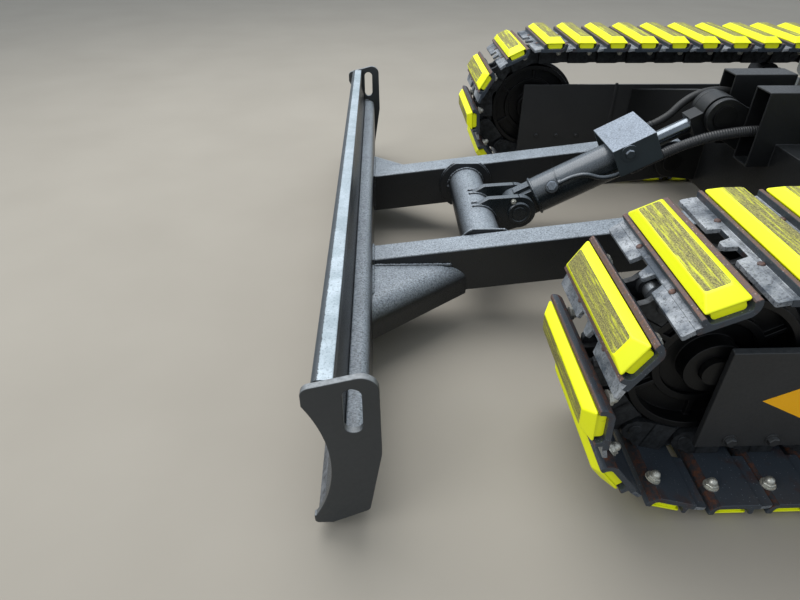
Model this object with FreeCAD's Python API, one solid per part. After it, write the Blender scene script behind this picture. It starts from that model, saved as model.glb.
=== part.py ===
"""Undercarriage of a mini excavator, with its dozer blade.

The frame is X forward, Y to the machine's left and Z up, in millimetres.
The ground is Z = 0, and the origin is under the middle of the whole length.
Lengths that start at the idler axle are counted forward from it.
"""
import FreeCAD
import Part
import math
import os

V = FreeCAD.Vector

# Tracks
link_pitch = 101.6
link_count = 43
sprocket_teeth = 21
track_gauge = 1400
shoe_width = 300
shoe_lip = 66
link_height = 36
rail_depth = 24
link_thickness = 24
link_gap = 26
bushing_diameter = 32
shoe_plate = 8
grouser_height = 18
shoe_joint = 1.6
grouser_front = 40.5
grouser_rear = 40.5
grouser_slope = 2
pad_height = 17
pad_width = 60
pad_chamfer = 12
pad_end_chamfer = 22
pad_end_gap = 6
pad_seat = 4

# Wheels of the tracks
wheel_gap = 0.3
idler_rim_thickness = 13
idler_web = 14
idler_hub_diameter = 100
idler_ring_diameter = 186
idler_ring_width = 14
idler_ring_height = 9
idler_rib_count = 6
idler_rib_thickness = 10
idler_flange_height = 11
idler_shaft_diameter = 50
roller_diameter = 104
roller_flange_height = 12
roller_count = 5
roller_shaft_diameter = 36
top_roller_diameter = 70
tooth_gap = 3

# Side frames
side_plate = 12
chain_clearance = 12
frame_bottom = 88
frame_outer_top = 304
frame_inner_top = 335
frame_front_outer = -5
frame_front_inner = 40
frame_seam = -278
seam_flange = 10
seam_flange_lip = 6
top_slot_front = -80
top_slot_length = 130
top_slot_width = 44
sprocket_clearance = 18
motor_flange_diameter = 250
motor_diameter = 196
motor_length = 150

# Centre frame and slew ring
deck_bottom = 285
deck_top = 446
deck_half_length = 320
deck_half_width = 300
deck_corner = 110
leg_width = 170
leg_reach = 400
leg_bottom = 150
leg_top = 320
tub_height = 50
hood_front = 56
hood_inner_side = 53
hood_outer_side = 107
hood_floor = 345
hood_roof = 512
hood_sheet = 5
ring_outer_diameter = 600
ring_width = 100
ring_split_gap = 44
ring_height = 56
ring_gap = 0.3
ring_rise = 6
ring_bolt_count = 24
ring_bolt_inset = 20
ring_bolt_hole = 18
swivel_diameter = 120
swivel_height = 190
swivel_port_diameter = 34

# Blade lift pivot, on the centre frame
pivot_from_idler = -320
pivot_height = 233
pivot_pin_diameter = 40
pin_fit = 0.05
lug_thickness = 16
lug_radius = 48
lug_side_gap = 2
bracket_front = -402
bracket_depth = 103
bracket_bottom = 165
bracket_top = 396
bracket_half_width = 310

# Blade
blade_width = 1700
nose_from_idler = 659
blade_rear = 565
end_plate = 12
end_plate_height = 356
end_plate_front = 119
end_plate_front_height = 328
edge_bottom = 24
lifting_slot_rear = 32
lifting_slot_width = 28
lifting_slot_bottom = 242
lifting_slot_top = 328
top_bar_rear = 71.5
top_bar_front = 104
top_bar_bottom = 302
top_bar_top = 336
mouldboard_thickness = 12
arm_middle = 240
arm_width = 68
arm_height = 115
arm_front_height = 128.5
gusset_reach = 176
gusset_length = 225
gusset_top_step = 14
gusset_bottom_rise = 18
gusset_radius = 48
beam_bottom = 62
beam_top = 225
beam_radius = 20
beam_reach = 90
tube_diameter = 101.6
tube_from_idler = 288
tube_height = 160
doubler_thickness = 6
doubler_diameter = 150
doubler_half_height = 67

# Blade cylinder
clevis_from_idler = 178
clevis_height = 190
rod_pin_from_idler = -296
rod_pin_height = 440
clevis_pin_diameter = 45
ear_thickness = 19
ear_gap = 59
ear_radius = 45
barrel_diameter = 95
barrel_start = 52
barrel_end = 366
eye_width = 55
eye_height = 76
rod_diameter = 40
rod_inside = 150
rod_bore_depth = 260
rod_eye_diameter = 92
rod_eye_width = 50
rod_eye_front = 466
rod_pin_diameter = 40
rod_pin_head = 5
eye_drift = 11.5
rod_lug_gap = 60
rod_lug_radius = 44
guard_start = 262
guard_end = 370
guard_half_width = 80
guard_top = 62
guard_skirt = 12
guard_sheet = 5
guard_boss_place = 298
guard_boss_height = 40
guard_boss_diameter = 24
gland_diameter = 84
gland_length = 14
port_position = 102
port_boss_diameter = 34
port_boss_height = 15
pipe_start = 26
port_turn = 32
pipe_diameter = 12
left_hose_diameter = 26
left_hose_side = 60.5
left_hose_start = 322
right_hose_diameter = 20
right_hose_side = 67
right_hose_start = 404
right_pipe_diameter = 14
coupler_length = 32
coupler_wall = 1
eye_block_width = 30
eye_block_height = 86

# Routes of the cylinder's hoses: along the cylinder from its foot, to the machine's right, and square
# to the cylinder. Behind the rod's eye they run into the hoods of the arm bracket
left_hose_route = [(left_hose_start, -left_hose_side, -12), (368, -left_hose_side, -12), (424, -70, -7),
                   (488, -77, -14), (550, -79, -34), (598, -80, -56), (638, -80, -84)]
right_hose_route = [(right_hose_start, right_hose_side, 9), (444, right_hose_side, 9), (482, 72, 25),
                    (522, 74, 31), (566, 76, 20), (610, 79, -6), (640, 80, -46)]

# Derived ring sizes
ring_inner_diameter = ring_outer_diameter - 2 * ring_width
ring_bolt_circle = ring_outer_diameter - 2 * ring_bolt_inset
ring_inner_bolt_circle = ring_inner_diameter + 2 * ring_bolt_inset
ring_split_diameter = ring_outer_diameter - 2 * ring_split_gap

# Derived track sizes
half_turn_of_link = 2 * math.pi / sprocket_teeth
pin_circle = link_pitch / (2 * math.sin(half_turn_of_link))
pin_apothem = pin_circle * math.cos(half_turn_of_link)
grouser_tip = link_height + shoe_plate + grouser_height
pad_top = grouser_tip + pad_height
wheel_height = pad_top + pin_circle
chain_half_width = link_gap / 2 + link_thickness
tooth_width = link_gap - 2 * tooth_gap
frame_half_width = chain_half_width + chain_clearance + side_plate
idler_radius = pin_apothem - rail_depth - wheel_gap
lower_rail = pad_top + rail_depth
upper_rail = wheel_height + pin_circle - rail_depth

# Shoe section: distance along the track from the middle of the link, height above the pin line.
# The lip in front reaches past the link's pin, under the rear grouser of the shoe ahead
shoe_rear = link_pitch - shoe_joint - shoe_lip
shoe_outline = [
    (-shoe_lip, link_height),
    (-shoe_lip, link_height + shoe_plate),
    (-grouser_front, link_height + shoe_plate),
    (grouser_slope - grouser_front, grouser_tip),
    (grouser_rear, grouser_tip),
    (shoe_rear, link_height + shoe_plate),
    (shoe_rear, link_height),
]


def box(x0, x1, y0, y1, z0, z1):
    return Part.makeBox(x1 - x0, y1 - y0, z1 - z0, V(x0, y0, z0))


def rod_along(point, direction, diameter, length):
    return Part.makeCylinder(diameter / 2, length, point, direction)


def cross_rod(x, z, y0, y1, diameter):
    """A round bar along Y between two sides."""
    return rod_along(V(x, y0, z), V(0, 1, 0), diameter, y1 - y0)


def face_from(points):
    return Part.Face(Part.makePolygon(points + points[:1]))


def slab_xz(points, y0, y1):
    """A plate whose outline is given in X and Z."""
    return face_from([V(x, y0, z) for x, z in points]).extrude(V(0, y1 - y0, 0))


def slab_xy(points, z0, z1):
    """A plate whose outline is given in X and Y."""
    return face_from([V(x, y, z0) for x, y in points]).extrude(V(0, 0, z1 - z0))


def slab_yz(points, x0, x1):
    """A bar whose section is given in Y and Z."""
    return face_from([V(x0, y, z) for y, z in points]).extrude(V(x1 - x0, 0, 0))


def rounded_wire(corners, closed=True):
    """A wire through (point, radius) corners, each rounded by its own arc."""
    edges = []
    starts = []
    count = len(corners)
    for i, (corner, radius) in enumerate(corners):
        if radius <= 0:
            starts.append((corner, corner, None))
            continue
        before = (corners[i - 1][0] - corner).normalize()
        after = (corners[(i + 1) % count][0] - corner).normalize()
        half = before.getAngle(after) / 2
        reach = radius / math.tan(half)
        middle = corner + (before + after).normalize() * (radius / math.sin(half) - radius)
        starts.append((corner + before * reach, corner + after * reach, middle))
    for i, (first, last, middle) in enumerate(starts):
        if middle is not None:
            edges.append(Part.Arc(first, middle, last).toShape())
        following = starts[(i + 1) % count][0]
        if (closed or i < count - 1) and last.distanceToPoint(following) > 1e-6:
            edges.append(Part.LineSegment(last, following).toShape())
    return Part.Wire(edges)


def rounded_slab_xz(corners, y0, y1):
    """A plate with (x, z, radius) corners."""
    wire = rounded_wire([(V(x, y0, z), radius) for x, z, radius in corners])
    return Part.Face(wire).extrude(V(0, y1 - y0, 0))


def revolved_y(x, z, profile):
    """A turned piece about an axle along Y, from (y, radius) points."""
    face = face_from([V(x + radius, y, z) for y, radius in profile])
    return face.revolve(V(x, 0, z), V(0, 1, 0), 360)


def mirrored(shape):
    return shape.mirror(V(0, 0, 0), V(0, 1, 0))


def joined(first, *others):
    return first.fuse(list(others)).removeSplitter()


def both_sides(shape):
    """Two like pieces, one at each side of the machine."""
    return Part.makeCompound([shape, mirrored(shape)])


def save(name, shape):
    shape.exportStep("parts/" + name + ".step")


# Track loop
def loop_point(distance, span):
    """A point of the pin line, counted from below the idler forward and round."""
    arc = math.pi * pin_circle
    distance = distance % (2 * arc + 2 * span)
    if distance < arc:
        angle = distance / pin_circle
        return (pin_circle * math.sin(angle), -pin_circle * math.cos(angle))
    if distance < arc + span:
        return (arc - distance, pin_circle)
    if distance < 2 * arc + span:
        angle = (distance - arc - span) / pin_circle
        return (-span - pin_circle * math.sin(angle), pin_circle * math.cos(angle))
    return (distance - 2 * arc - 2 * span, -pin_circle)


def next_pin(distance, span):
    """The place along the loop that is one link further on."""
    x, z = loop_point(distance, span)
    low, high = distance + link_pitch * 0.9, distance + link_pitch * 1.2
    for _ in range(50):
        middle = (low + high) / 2
        nx, nz = loop_point(middle, span)
        if math.hypot(nx - x, nz - z) < link_pitch:
            low = middle
        else:
            high = middle
    return (low + high) / 2


def pins_for(span):
    places = [first_pin]
    for _ in range(link_count):
        places.append(next_pin(places[-1], span))
    return places


def closing_span():
    """The distance between idler and sprocket at which the last link meets the first."""
    low = link_count * link_pitch / 2 - 4 * pin_circle
    high = link_count * link_pitch / 2 - 2 * pin_circle
    for _ in range(50):
        middle = (low + high) / 2
        loop_length = 2 * math.pi * pin_circle + 2 * middle
        if pins_for(middle)[-1] - first_pin > loop_length:
            low = middle
        else:
            high = middle
    return (low + high) / 2


first_pin = 1
wheel_span = closing_span()
pins = [loop_point(place, wheel_span) for place in pins_for(wheel_span)]


def link_frames():
    """For each link its middle, its direction along the loop and its outward direction."""
    frames = []
    for (x0, z0), (x1, z1) in zip(pins[:-1], pins[1:]):
        along = ((x1 - x0) / link_pitch, (z1 - z0) / link_pitch)
        frames.append((((x0 + x1) / 2, (z0 + z1) / 2), along, (along[1], -along[0])))
    return frames


def placed(frame, s, n):
    middle, along, out = frame
    return (middle[0] + s * along[0] + n * out[0], middle[1] + s * along[1] + n * out[1])


links = link_frames()
worn_half = pad_width / 2 - pad_chamfer
pad_corners = [placed(link, s, pad_top) for link in links for s in (-worn_half, worn_half)]
rear_reach = min(x for x, z in pad_corners)

# Places along the machine, from the middle of its length
whole_length = nose_from_idler - rear_reach
idler_x = whole_length / 2 - nose_from_idler
sprocket_x = idler_x - wheel_span
bracket_face = idler_x + bracket_front
bracket_back = bracket_face - bracket_depth
slew_x = bracket_back - deck_half_length
pivot_x = idler_x + pivot_from_idler
clevis_x = idler_x + clevis_from_idler
rod_pin_x = idler_x + rod_pin_from_idler
tube_x = idler_x + tube_from_idler
blade_x = idler_x + blade_rear
track_y = track_gauge / 2
plate_in = track_y - frame_half_width
plate_out = track_y + frame_half_width


def on_machine(point):
    return (idler_x + point[0], wheel_height + point[1])


# Tracks
def belt_corner(before, link, n):
    """Where the lines at height n over two neighbouring links meet."""
    turn = math.atan2(before[1][0] * link[1][1] - before[1][1] * link[1][0],
                      before[1][0] * link[1][0] + before[1][1] * link[1][1])
    return placed(link, -link_pitch / 2 - n * math.tan(turn / 2), n)


def shoe(link):
    outline = [on_machine(placed(link, s, n)) for s, n in shoe_outline]
    return slab_xz(outline, track_y - shoe_width / 2, track_y + shoe_width / 2)


def pad():
    """A rubber pad with sloping sides and ends, with its tread down and its link's middle at the origin."""
    half, half_length = pad_width / 2, shoe_width / 2 - pad_end_gap
    seat, tread = pad_seat - grouser_tip, -pad_top
    sides = slab_xz([(-half, seat), (half, seat), (half - pad_chamfer, tread), (pad_chamfer - half, tread)],
                    -half_length, half_length)
    ends = slab_yz([(-half_length, seat), (half_length, seat), (half_length - pad_end_chamfer, tread),
                    (pad_end_chamfer - half_length, tread)], -half, half)
    return sides.common(ends)


def on_link(shape, link):
    """Lays a piece that is drawn along X, with its outside down, on a link of the left track."""
    middle, along, outward = link
    x, z = on_machine(middle)
    copy = shape.copy()
    copy.rotate(V(0, 0, 0), V(0, 1, 0), -math.degrees(math.atan2(along[1], along[0])))
    copy.translate(V(x, track_y, z))
    return copy


def link_row(y0, y1):
    """One row of links as a closed belt of flats, from the rail to the shoes."""
    outlines = []
    for n in (link_height, -rail_depth):
        corners = []
        for before, link in zip([links[-1]] + links[:-1], links):
            corners.append(on_machine(belt_corner(before, link, n)))
        outlines.append(slab_xz(corners, y0, y1))
    return outlines[0].cut(outlines[1])


def track():
    flat_pad = pad()
    rows = []
    for y0 in (track_y - chain_half_width, track_y + link_gap / 2):
        rows.append(link_row(y0, y0 + link_thickness))
    pieces = rows[1:]
    for link in links:
        pieces.append(shoe(link))
        pieces.append(on_link(flat_pad, link))
    return joined(rows[0], *pieces)


# Wheels of the tracks
def idler():
    """A spoked idler with a guide flange between the rows of links."""
    hub = idler_hub_diameter / 2
    rim = idler_radius - idler_rim_thickness
    guide = link_gap / 2 - 4
    face = chain_half_width - 2
    flank = idler_web / 2
    ring_out = idler_ring_diameter / 2
    ring_in = ring_out - idler_ring_width
    raised = flank + idler_ring_height
    half_profile = [
        (guide, idler_radius + idler_flange_height), (guide + 3, idler_radius), (face, idler_radius),
        (face, rim), (flank, rim), (flank, ring_out), (raised, ring_out), (raised, ring_in),
        (flank, ring_in), (flank, hub), (face + 2, hub), (face + 2, idler_shaft_diameter / 2),
    ]
    profile = [(-y, radius) for y, radius in half_profile[::-1]] + half_profile
    wheel = revolved_y(idler_x, wheel_height, profile)
    ribs = []
    for i in range(idler_rib_count):
        rib = box(idler_x + ring_in + 4, idler_x + rim + 4, -raised, raised,
                  wheel_height - idler_rib_thickness / 2, wheel_height + idler_rib_thickness / 2)
        rib.rotate(V(idler_x, 0, wheel_height), V(0, 1, 0), 360 * (i + 0.5) / idler_rib_count)
        ribs.append(rib)
    wheel = joined(wheel, *ribs)
    wheel.translate(V(0, track_y, 0))
    return wheel


def idler_shaft():
    """The idler's shaft, held between the side plates."""
    inner = frame_half_width - side_plate
    shaft = cross_rod(idler_x, wheel_height, -inner + 0.5, inner - 0.5, idler_shaft_diameter - 0.6)
    shaft.translate(V(0, track_y, 0))
    return shaft


def roller(x, z, diameter):
    """A double track roller, turned with a flange outside each row of links."""
    half = chain_half_width + 0.5
    tread = diameter / 2
    neck = link_gap / 2 - 2
    shaft = roller_shaft_diameter / 2
    inner = frame_half_width - side_plate
    profile = [
        (-inner, 0), (-inner, shaft), (-half, shaft), (-half, tread), (-neck, tread),
        (-neck, tread - roller_flange_height), (neck, tread - roller_flange_height),
        (neck, tread), (half, tread), (half, shaft), (inner, shaft), (inner, 0),
    ]
    wheel = revolved_y(x, z, profile)
    wheel.translate(V(0, track_y, 0))
    return wheel


def bottom_rollers():
    first = idler_x - idler_radius - roller_diameter / 2 - 55
    last = sprocket_x + pin_circle + roller_diameter / 2 + 55
    z = lower_rail + wheel_gap + roller_diameter / 2
    step = (last - first) / (roller_count - 1)
    return Part.makeCompound([roller(first + i * step, z, roller_diameter) for i in range(roller_count)])


def top_roller_place():
    return (idler_x + sprocket_x) / 2, upper_rail - wheel_gap - top_roller_diameter / 2


def top_roller():
    """The roller that carries the upper run, on its stand over the side frame."""
    x, z = top_roller_place()
    half = chain_half_width
    wheel = cross_rod(x, z, track_y - half, track_y + half, top_roller_diameter)
    shaft = cross_rod(x, z, plate_in, track_y - half, roller_shaft_diameter)
    return joined(wheel, shaft)


def sprocket():
    """A chain wheel whose 21 tooth gaps take a bushing of every second gap."""
    seat = bushing_diameter / 2 + 1
    tip = pin_circle + 9
    angle = sprocket_phase()
    disc = cross_rod(0, 0, -tooth_width / 2, tooth_width / 2, 2 * tip)
    gaps = []
    for i in range(sprocket_teeth):
        turn = angle + 2 * math.pi * i / sprocket_teeth
        gap = cross_rod(pin_circle, 0, -tooth_width, tooth_width, 2 * seat)
        flare = slab_xz([(pin_circle, -seat), (pin_circle + 20, -seat - 4),
                         (pin_circle + 20, seat + 4), (pin_circle, seat)], -tooth_width, tooth_width)
        cutter = gap.fuse(flare)
        cutter.rotate(V(0, 0, 0), V(0, -1, 0), math.degrees(turn))
        gaps.append(cutter)
    wheel = disc.cut(gaps)
    bore = cross_rod(0, 0, -tooth_width, tooth_width, motor_diameter + 2)
    wheel = wheel.cut(bore)
    wheel.translate(V(sprocket_x, track_y, wheel_height))
    return wheel


def sprocket_phase():
    """The angle of a pin that lies on the sprocket."""
    x, z = min(pins, key=lambda pin: pin[0])
    return math.atan2(z, x + wheel_span)


def travel_motor():
    """The final drive: a stepped round housing through the sprocket, and the motor inboard."""
    half = tooth_width / 2
    inner = -frame_half_width
    sprocket_flange = motor_diameter / 2 + 26
    profile = [
        (inner - motor_length, 0), (inner - motor_length, 70), (inner - 12, 78),
        (inner - 12, motor_flange_diameter / 2), (inner - 0.3, motor_flange_diameter / 2),
        (inner - 0.3, motor_diameter / 2 - 12), (-half - 14, motor_diameter / 2 - 12),
        (-half - 14, sprocket_flange), (-half - 0.3, sprocket_flange), (-half - 0.3, motor_diameter / 2),
        (44, motor_diameter / 2), (62, motor_diameter / 2 - 16), (62, 46), (68, 40), (68, 0),
    ]
    body = revolved_y(sprocket_x, wheel_height, profile)
    body.translate(V(0, track_y, 0))
    return body


# Side frames
def side_frame():
    """The roof-like frame between the rows of rollers: two side plates and a sloping top."""
    rear = sprocket_x + pin_circle + sprocket_clearance
    inside = frame_half_width - side_plate
    section = [
        (-frame_half_width, frame_bottom), (-inside, frame_bottom),
        (-inside, frame_inner_top - side_plate), (inside, frame_outer_top - side_plate),
        (inside, frame_bottom), (frame_half_width, frame_bottom),
        (frame_half_width, frame_outer_top), (-frame_half_width, frame_inner_top),
    ]
    section = [(track_y + y, z) for y, z in section]
    shell = slab_yz(section, rear, idler_x + frame_front_inner)
    front = idler_x + frame_front_outer
    open_front = box(front - idler_radius - 35, front + 100, plate_in + side_plate, plate_out - side_plate,
                     frame_bottom - 1, frame_inner_top + 1)
    trim = box(front, front + 100, plate_in + side_plate, plate_out + 1, frame_bottom - 1, frame_inner_top + 1)
    slot_x = idler_x + top_slot_front
    slot = box(slot_x - top_slot_length, slot_x, track_y - top_slot_width / 2, track_y + top_slot_width / 2,
               frame_bottom, frame_inner_top + 1)
    shell = shell.cut([open_front, trim])
    if slot_x - top_slot_length < front - idler_radius - 35:
        shell = shell.cut(slot)
    seam = box(idler_x + frame_seam - seam_flange, idler_x + frame_seam, plate_in - seam_flange_lip,
               plate_in, frame_bottom, frame_inner_top + seam_flange_lip)
    flange = cross_rod(sprocket_x, wheel_height, plate_in, plate_in + side_plate, motor_flange_diameter)
    tail = slab_xz([(rear + 40, frame_bottom + 30), (rear + 40, frame_inner_top),
                    (sprocket_x, wheel_height + motor_flange_diameter / 2),
                    (sprocket_x, wheel_height - motor_flange_diameter / 2)], plate_in, plate_in + side_plate)
    bore = cross_rod(sprocket_x, wheel_height, plate_in - 1, plate_in + side_plate + 1,
                     motor_diameter - 23)
    x, z = top_roller_place()
    stand = slab_xz([(x - 45, frame_inner_top - 5), (x + 45, frame_inner_top - 5), (x + 26, z + 24),
                     (x - 26, z + 24)], plate_in, plate_in + side_plate)
    stand_bore = cross_rod(x, z, plate_in - 1, plate_in + side_plate + 1,
                           roller_shaft_diameter + 2 * wheel_gap)
    return joined(shell, seam, flange, tail, stand).cut([bore, stand_bore])


# Centre frame
def leg(end_x):
    """A tapered box leg from the deck down to the side frame."""
    sections = []
    deck_x = slew_x + (deck_half_length - leg_width / 2 - 20) * (1 if end_x > 0 else -1)
    places = ((deck_x, deck_half_width - 60, deck_bottom, deck_top - 20),
              (slew_x + end_x, plate_in, leg_bottom, leg_top))
    for x, y, z0, z1 in places:
        half = leg_width / 2
        points = [V(x - half, y, z0), V(x + half, y, z0), V(x + half, y, z1), V(x - half, y, z1)]
        sections.append(Part.makePolygon(points + points[:1]))
    return Part.makeLoft(sections, True, True)


def pivot_lug(y):
    """A lug for the end of a push arm."""
    half = lug_thickness / 2
    plate = slab_xz([(bracket_face - 20, pivot_height - lug_radius - 12),
                     (pivot_x + 6, pivot_height - lug_radius + 0.5),
                     (pivot_x + 6, pivot_height + lug_radius - 0.5),
                     (bracket_face - 20, pivot_height + lug_radius + 30)], y - half, y + half)
    boss = cross_rod(pivot_x, pivot_height, y - half, y + half, 2 * lug_radius)
    bore = cross_rod(pivot_x, pivot_height, y - half - 1, y + half + 1, pivot_pin_diameter + 2 * pin_fit)
    return plate.fuse(boss).cut(bore)


def rod_lug(y):
    """A lug for the rod end of the blade cylinder."""
    half = lug_thickness / 2
    front = bracket_face
    plate = slab_xz([(front - 90, bracket_top - 5), (rod_pin_x - 20, rod_pin_height + rod_lug_radius - 5),
                     (rod_pin_x + 24, rod_pin_height - rod_lug_radius + 7), (front, bracket_top - 70),
                     (front - 90, bracket_top - 70)], y - half, y + half)
    boss = cross_rod(rod_pin_x, rod_pin_height, y - half, y + half, 2 * rod_lug_radius)
    bore = cross_rod(rod_pin_x, rod_pin_height, y - half - 1, y + half + 1, rod_pin_diameter + 2 * pin_fit)
    return plate.fuse(boss).cut(bore)


def legs():
    """The four legs of the centre frame."""
    left = [leg(leg_reach), leg(-leg_reach)]
    return left + [mirrored(shape) for shape in left]


def centre_frame():
    """The welded frame that carries the slew ring and ties the side frames together."""
    length, width, corner = deck_half_length, deck_half_width, deck_corner
    outline = [(length, -width + corner), (length, width - corner), (length - corner, width),
               (-length + corner, width), (-length, width - corner), (-length, -width + corner),
               (-length + corner, -width), (length - corner, -width)]
    deck = slab_xy([(slew_x + x, y) for x, y in outline], deck_bottom, deck_top)
    tub = Part.makeCylinder(ring_outer_diameter / 2 - 15, tub_height, V(slew_x, 0, deck_top))
    well = Part.makeCylinder(ring_inner_diameter / 2, deck_top + tub_height, V(slew_x, 0, 0))
    return joined(deck, tub, *legs()).cut(well)


def hose_hood():
    """A sheet hood, open to the front, that takes in a hose of the blade cylinder."""
    outer = box(bracket_back, bracket_face + hood_front, hood_inner_side - hood_sheet,
                hood_outer_side + hood_sheet, hood_floor - hood_sheet, hood_roof + hood_sheet)
    room = box(bracket_back + hood_sheet, bracket_face + hood_front + 1, hood_inner_side, hood_outer_side,
               hood_floor, hood_roof)
    return outer, room


def arm_bracket():
    """The box across the front of the centre frame, with the lugs of the blade's arms and cylinder."""
    block = box(bracket_back, bracket_face, -bracket_half_width, bracket_half_width,
                bracket_bottom, bracket_top)
    hood, room = hose_hood()
    arm_lug_offset = arm_width / 2 + lug_side_gap + lug_thickness / 2
    left = [hood, pivot_lug(arm_middle - arm_lug_offset), pivot_lug(arm_middle + arm_lug_offset),
            rod_lug(rod_lug_gap / 2 + lug_thickness / 2)]
    right = [mirrored(shape) for shape in left]
    return joined(block, *left, *right).cut([room, mirrored(room)] + legs())


# Slew ring
ring_bottom = deck_top + tub_height


def bolt_holes(circle, count, z0, z1):
    holes = []
    for i in range(count):
        angle = 2 * math.pi * (i + 0.5) / count
        point = V(slew_x + circle / 2 * math.cos(angle), circle / 2 * math.sin(angle), z0)
        holes.append(Part.makeCylinder(ring_bolt_hole / 2, z1 - z0, point))
    return holes


def slew_ring_outer():
    """The turning race, which carries the upper structure on its bolt circle."""
    z = ring_bottom + ring_rise
    race = Part.makeCylinder(ring_outer_diameter / 2, ring_height, V(slew_x, 0, z))
    bore = Part.makeCylinder(ring_split_diameter / 2 + ring_gap, ring_height, V(slew_x, 0, z))
    holes = bolt_holes(ring_bolt_circle, ring_bolt_count, z, z + ring_height)
    return race.cut([bore] + holes)


def slew_ring_inner():
    """The fixed race, bolted to the centre frame."""
    race = Part.makeCylinder(ring_split_diameter / 2, ring_height, V(slew_x, 0, ring_bottom))
    bore = Part.makeCylinder(ring_inner_diameter / 2, ring_height, V(slew_x, 0, ring_bottom))
    holes = bolt_holes(ring_inner_bolt_circle, ring_bolt_count, ring_bottom, ring_bottom + ring_height)
    return race.cut([bore] + holes)


def swivel_joint():
    """The oil swivel that stands in the middle of the centre frame, with its ports."""
    base = deck_bottom + 20
    body = Part.makeCylinder(swivel_diameter / 2, swivel_height, V(slew_x, 0, base))
    flange = box(slew_x - ring_inner_diameter / 2, slew_x + ring_inner_diameter / 2, -45, 45, base, base + 14)
    well = Part.makeCylinder(ring_inner_diameter / 2 - wheel_gap, swivel_height, V(slew_x, 0, base))
    pieces = [flange.common(well)]
    for i in range(4):
        angle = math.pi / 4 + math.pi / 2 * i
        direction = V(math.cos(angle), math.sin(angle), 0)
        start = V(slew_x, 0, base + 50 + 25 * i)
        pieces.append(rod_along(start, direction, swivel_port_diameter, swivel_diameter / 2 + 22))
    return joined(body, *pieces)


# Blade
# Blade section, counted forward from the rear of the end plates
blade_origin = blade_x - 25
hollow_front = [(100, 325), (73, 165), (104, 50)]


def hollow_arc(setback, y):
    """The three points of the mouldboard's hollow arc, set back from its front face."""
    return [V(blade_origin + x - setback, y, z) for x, z in hollow_front]


def arc_slab(arc_points, corners, y0, y1):
    """A slab closed by an arc and straight lines through further corners."""
    corners = [V(x, y0, z) for x, z in corners]
    edges = [Part.Arc(*arc_points).toShape()]
    chain = [arc_points[2]] + corners + [arc_points[0]]
    for start, end in zip(chain[:-1], chain[1:]):
        edges.append(Part.LineSegment(start, end).toShape())
    return Part.Face(Part.Wire(edges)).extrude(V(0, y1 - y0, 0))


def mouldboard():
    """The hollow-fronted blade plate with a flat bar along its top edge."""
    side = blade_width / 2 - end_plate
    front_arc = hollow_arc(0, -side)
    back_arc = hollow_arc(mouldboard_thickness, -side)
    edges = [Part.Arc(*front_arc).toShape(), Part.LineSegment(front_arc[2], back_arc[2]).toShape(),
             Part.Arc(*back_arc[::-1]).toShape(), Part.LineSegment(back_arc[0], front_arc[0]).toShape()]
    plate = Part.Face(Part.Wire(edges)).extrude(V(0, 2 * side, 0))
    rear, front = blade_origin + top_bar_rear, blade_origin + top_bar_front
    bar = rounded_slab_xz([(rear, top_bar_bottom, 0), (front, top_bar_bottom, 0),
                           (front, top_bar_top, 9), (rear, top_bar_top, 2)], -side, side)
    return joined(plate, bar)


def cutting_edge():
    """The wearing bar along the foot of the mouldboard."""
    points = [(93, 50), (104, 50), (114, 36), (112, edge_bottom), (98, edge_bottom), (88, 40)]
    side = blade_width / 2 - end_plate
    return slab_xz([(blade_origin + x, z) for x, z in points], -side, side)


def end_plate_left():
    """A side plate with a hollow front edge and a lifting slot."""
    x0 = blade_origin
    y0 = blade_width / 2 - end_plate
    front = x0 + end_plate_front
    blank = rounded_slab_xz([(x0 + 8, end_plate_height, 26), (front, end_plate_front_height, 16),
                             (front, end_plate_front_height - 58, 0), (front, edge_bottom, 8),
                             (front - 30, edge_bottom, 6), (x0 + 26, 56, 12), (x0 + 5, 192, 60)],
                            y0, y0 + end_plate)
    hollow_points = [V(front, y0 - 1, end_plate_front_height - 32), V(front - 35, y0 - 1, 160),
                     V(front - 3, y0 - 1, edge_bottom + 20)]
    ahead = front + 20
    hollow = arc_slab(hollow_points, [(ahead, hollow_points[2].z), (ahead, hollow_points[0].z)],
                      y0 - 1, y0 + end_plate + 1)
    slot_rear = x0 + lifting_slot_rear
    slot_front = slot_rear + lifting_slot_width
    slot_end = lifting_slot_width / 2 - 0.1
    slot = rounded_slab_xz([(slot_rear, lifting_slot_bottom, slot_end), (slot_front, lifting_slot_bottom, slot_end),
                            (slot_front, lifting_slot_top, slot_end), (slot_rear, lifting_slot_top, slot_end)],
                           y0 - 1, y0 + end_plate + 1)
    return blank.cut([hollow, slot])


def rear_beam():
    """The folded box along the back of the mouldboard."""
    x0 = blade_origin
    side = blade_width / 2 - end_plate
    outer = rounded_slab_xz([(blade_x, beam_bottom, 6), (x0 + beam_reach, beam_bottom, 0),
                             (x0 + beam_reach, beam_top, 0), (blade_x, beam_top, beam_radius)], -side, side)
    ahead = arc_slab(hollow_arc(mouldboard_thickness, -side - 1), [(x0 + 140, 50), (x0 + 140, 325)],
                     -side - 1, side + 1)
    return outer.cut(ahead)


def push_arm():
    """A push arm from the blade back to its pivot eye."""
    rise = pivot_height - arm_front_height
    run = blade_x - pivot_x
    half = arm_height / 2
    slope = math.atan2(rise, run)
    up = (math.sin(slope) * half, math.cos(slope) * half)
    points = [(pivot_x - up[0] * -1, pivot_height + up[1]), (pivot_x - up[0], pivot_height - up[1]),
              (blade_x, arm_front_height - half), (blade_x, arm_front_height + half)]
    y0, y1 = arm_middle - arm_width / 2, arm_middle + arm_width / 2
    beam = slab_xz(points, y0, y1)
    eye = cross_rod(pivot_x, pivot_height, y0, y1, arm_height)
    bore = cross_rod(pivot_x, pivot_height, y0 - 1, y1 + 1, pivot_pin_diameter + 2 * pin_fit)
    return joined(beam, eye).cut(bore)


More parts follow.
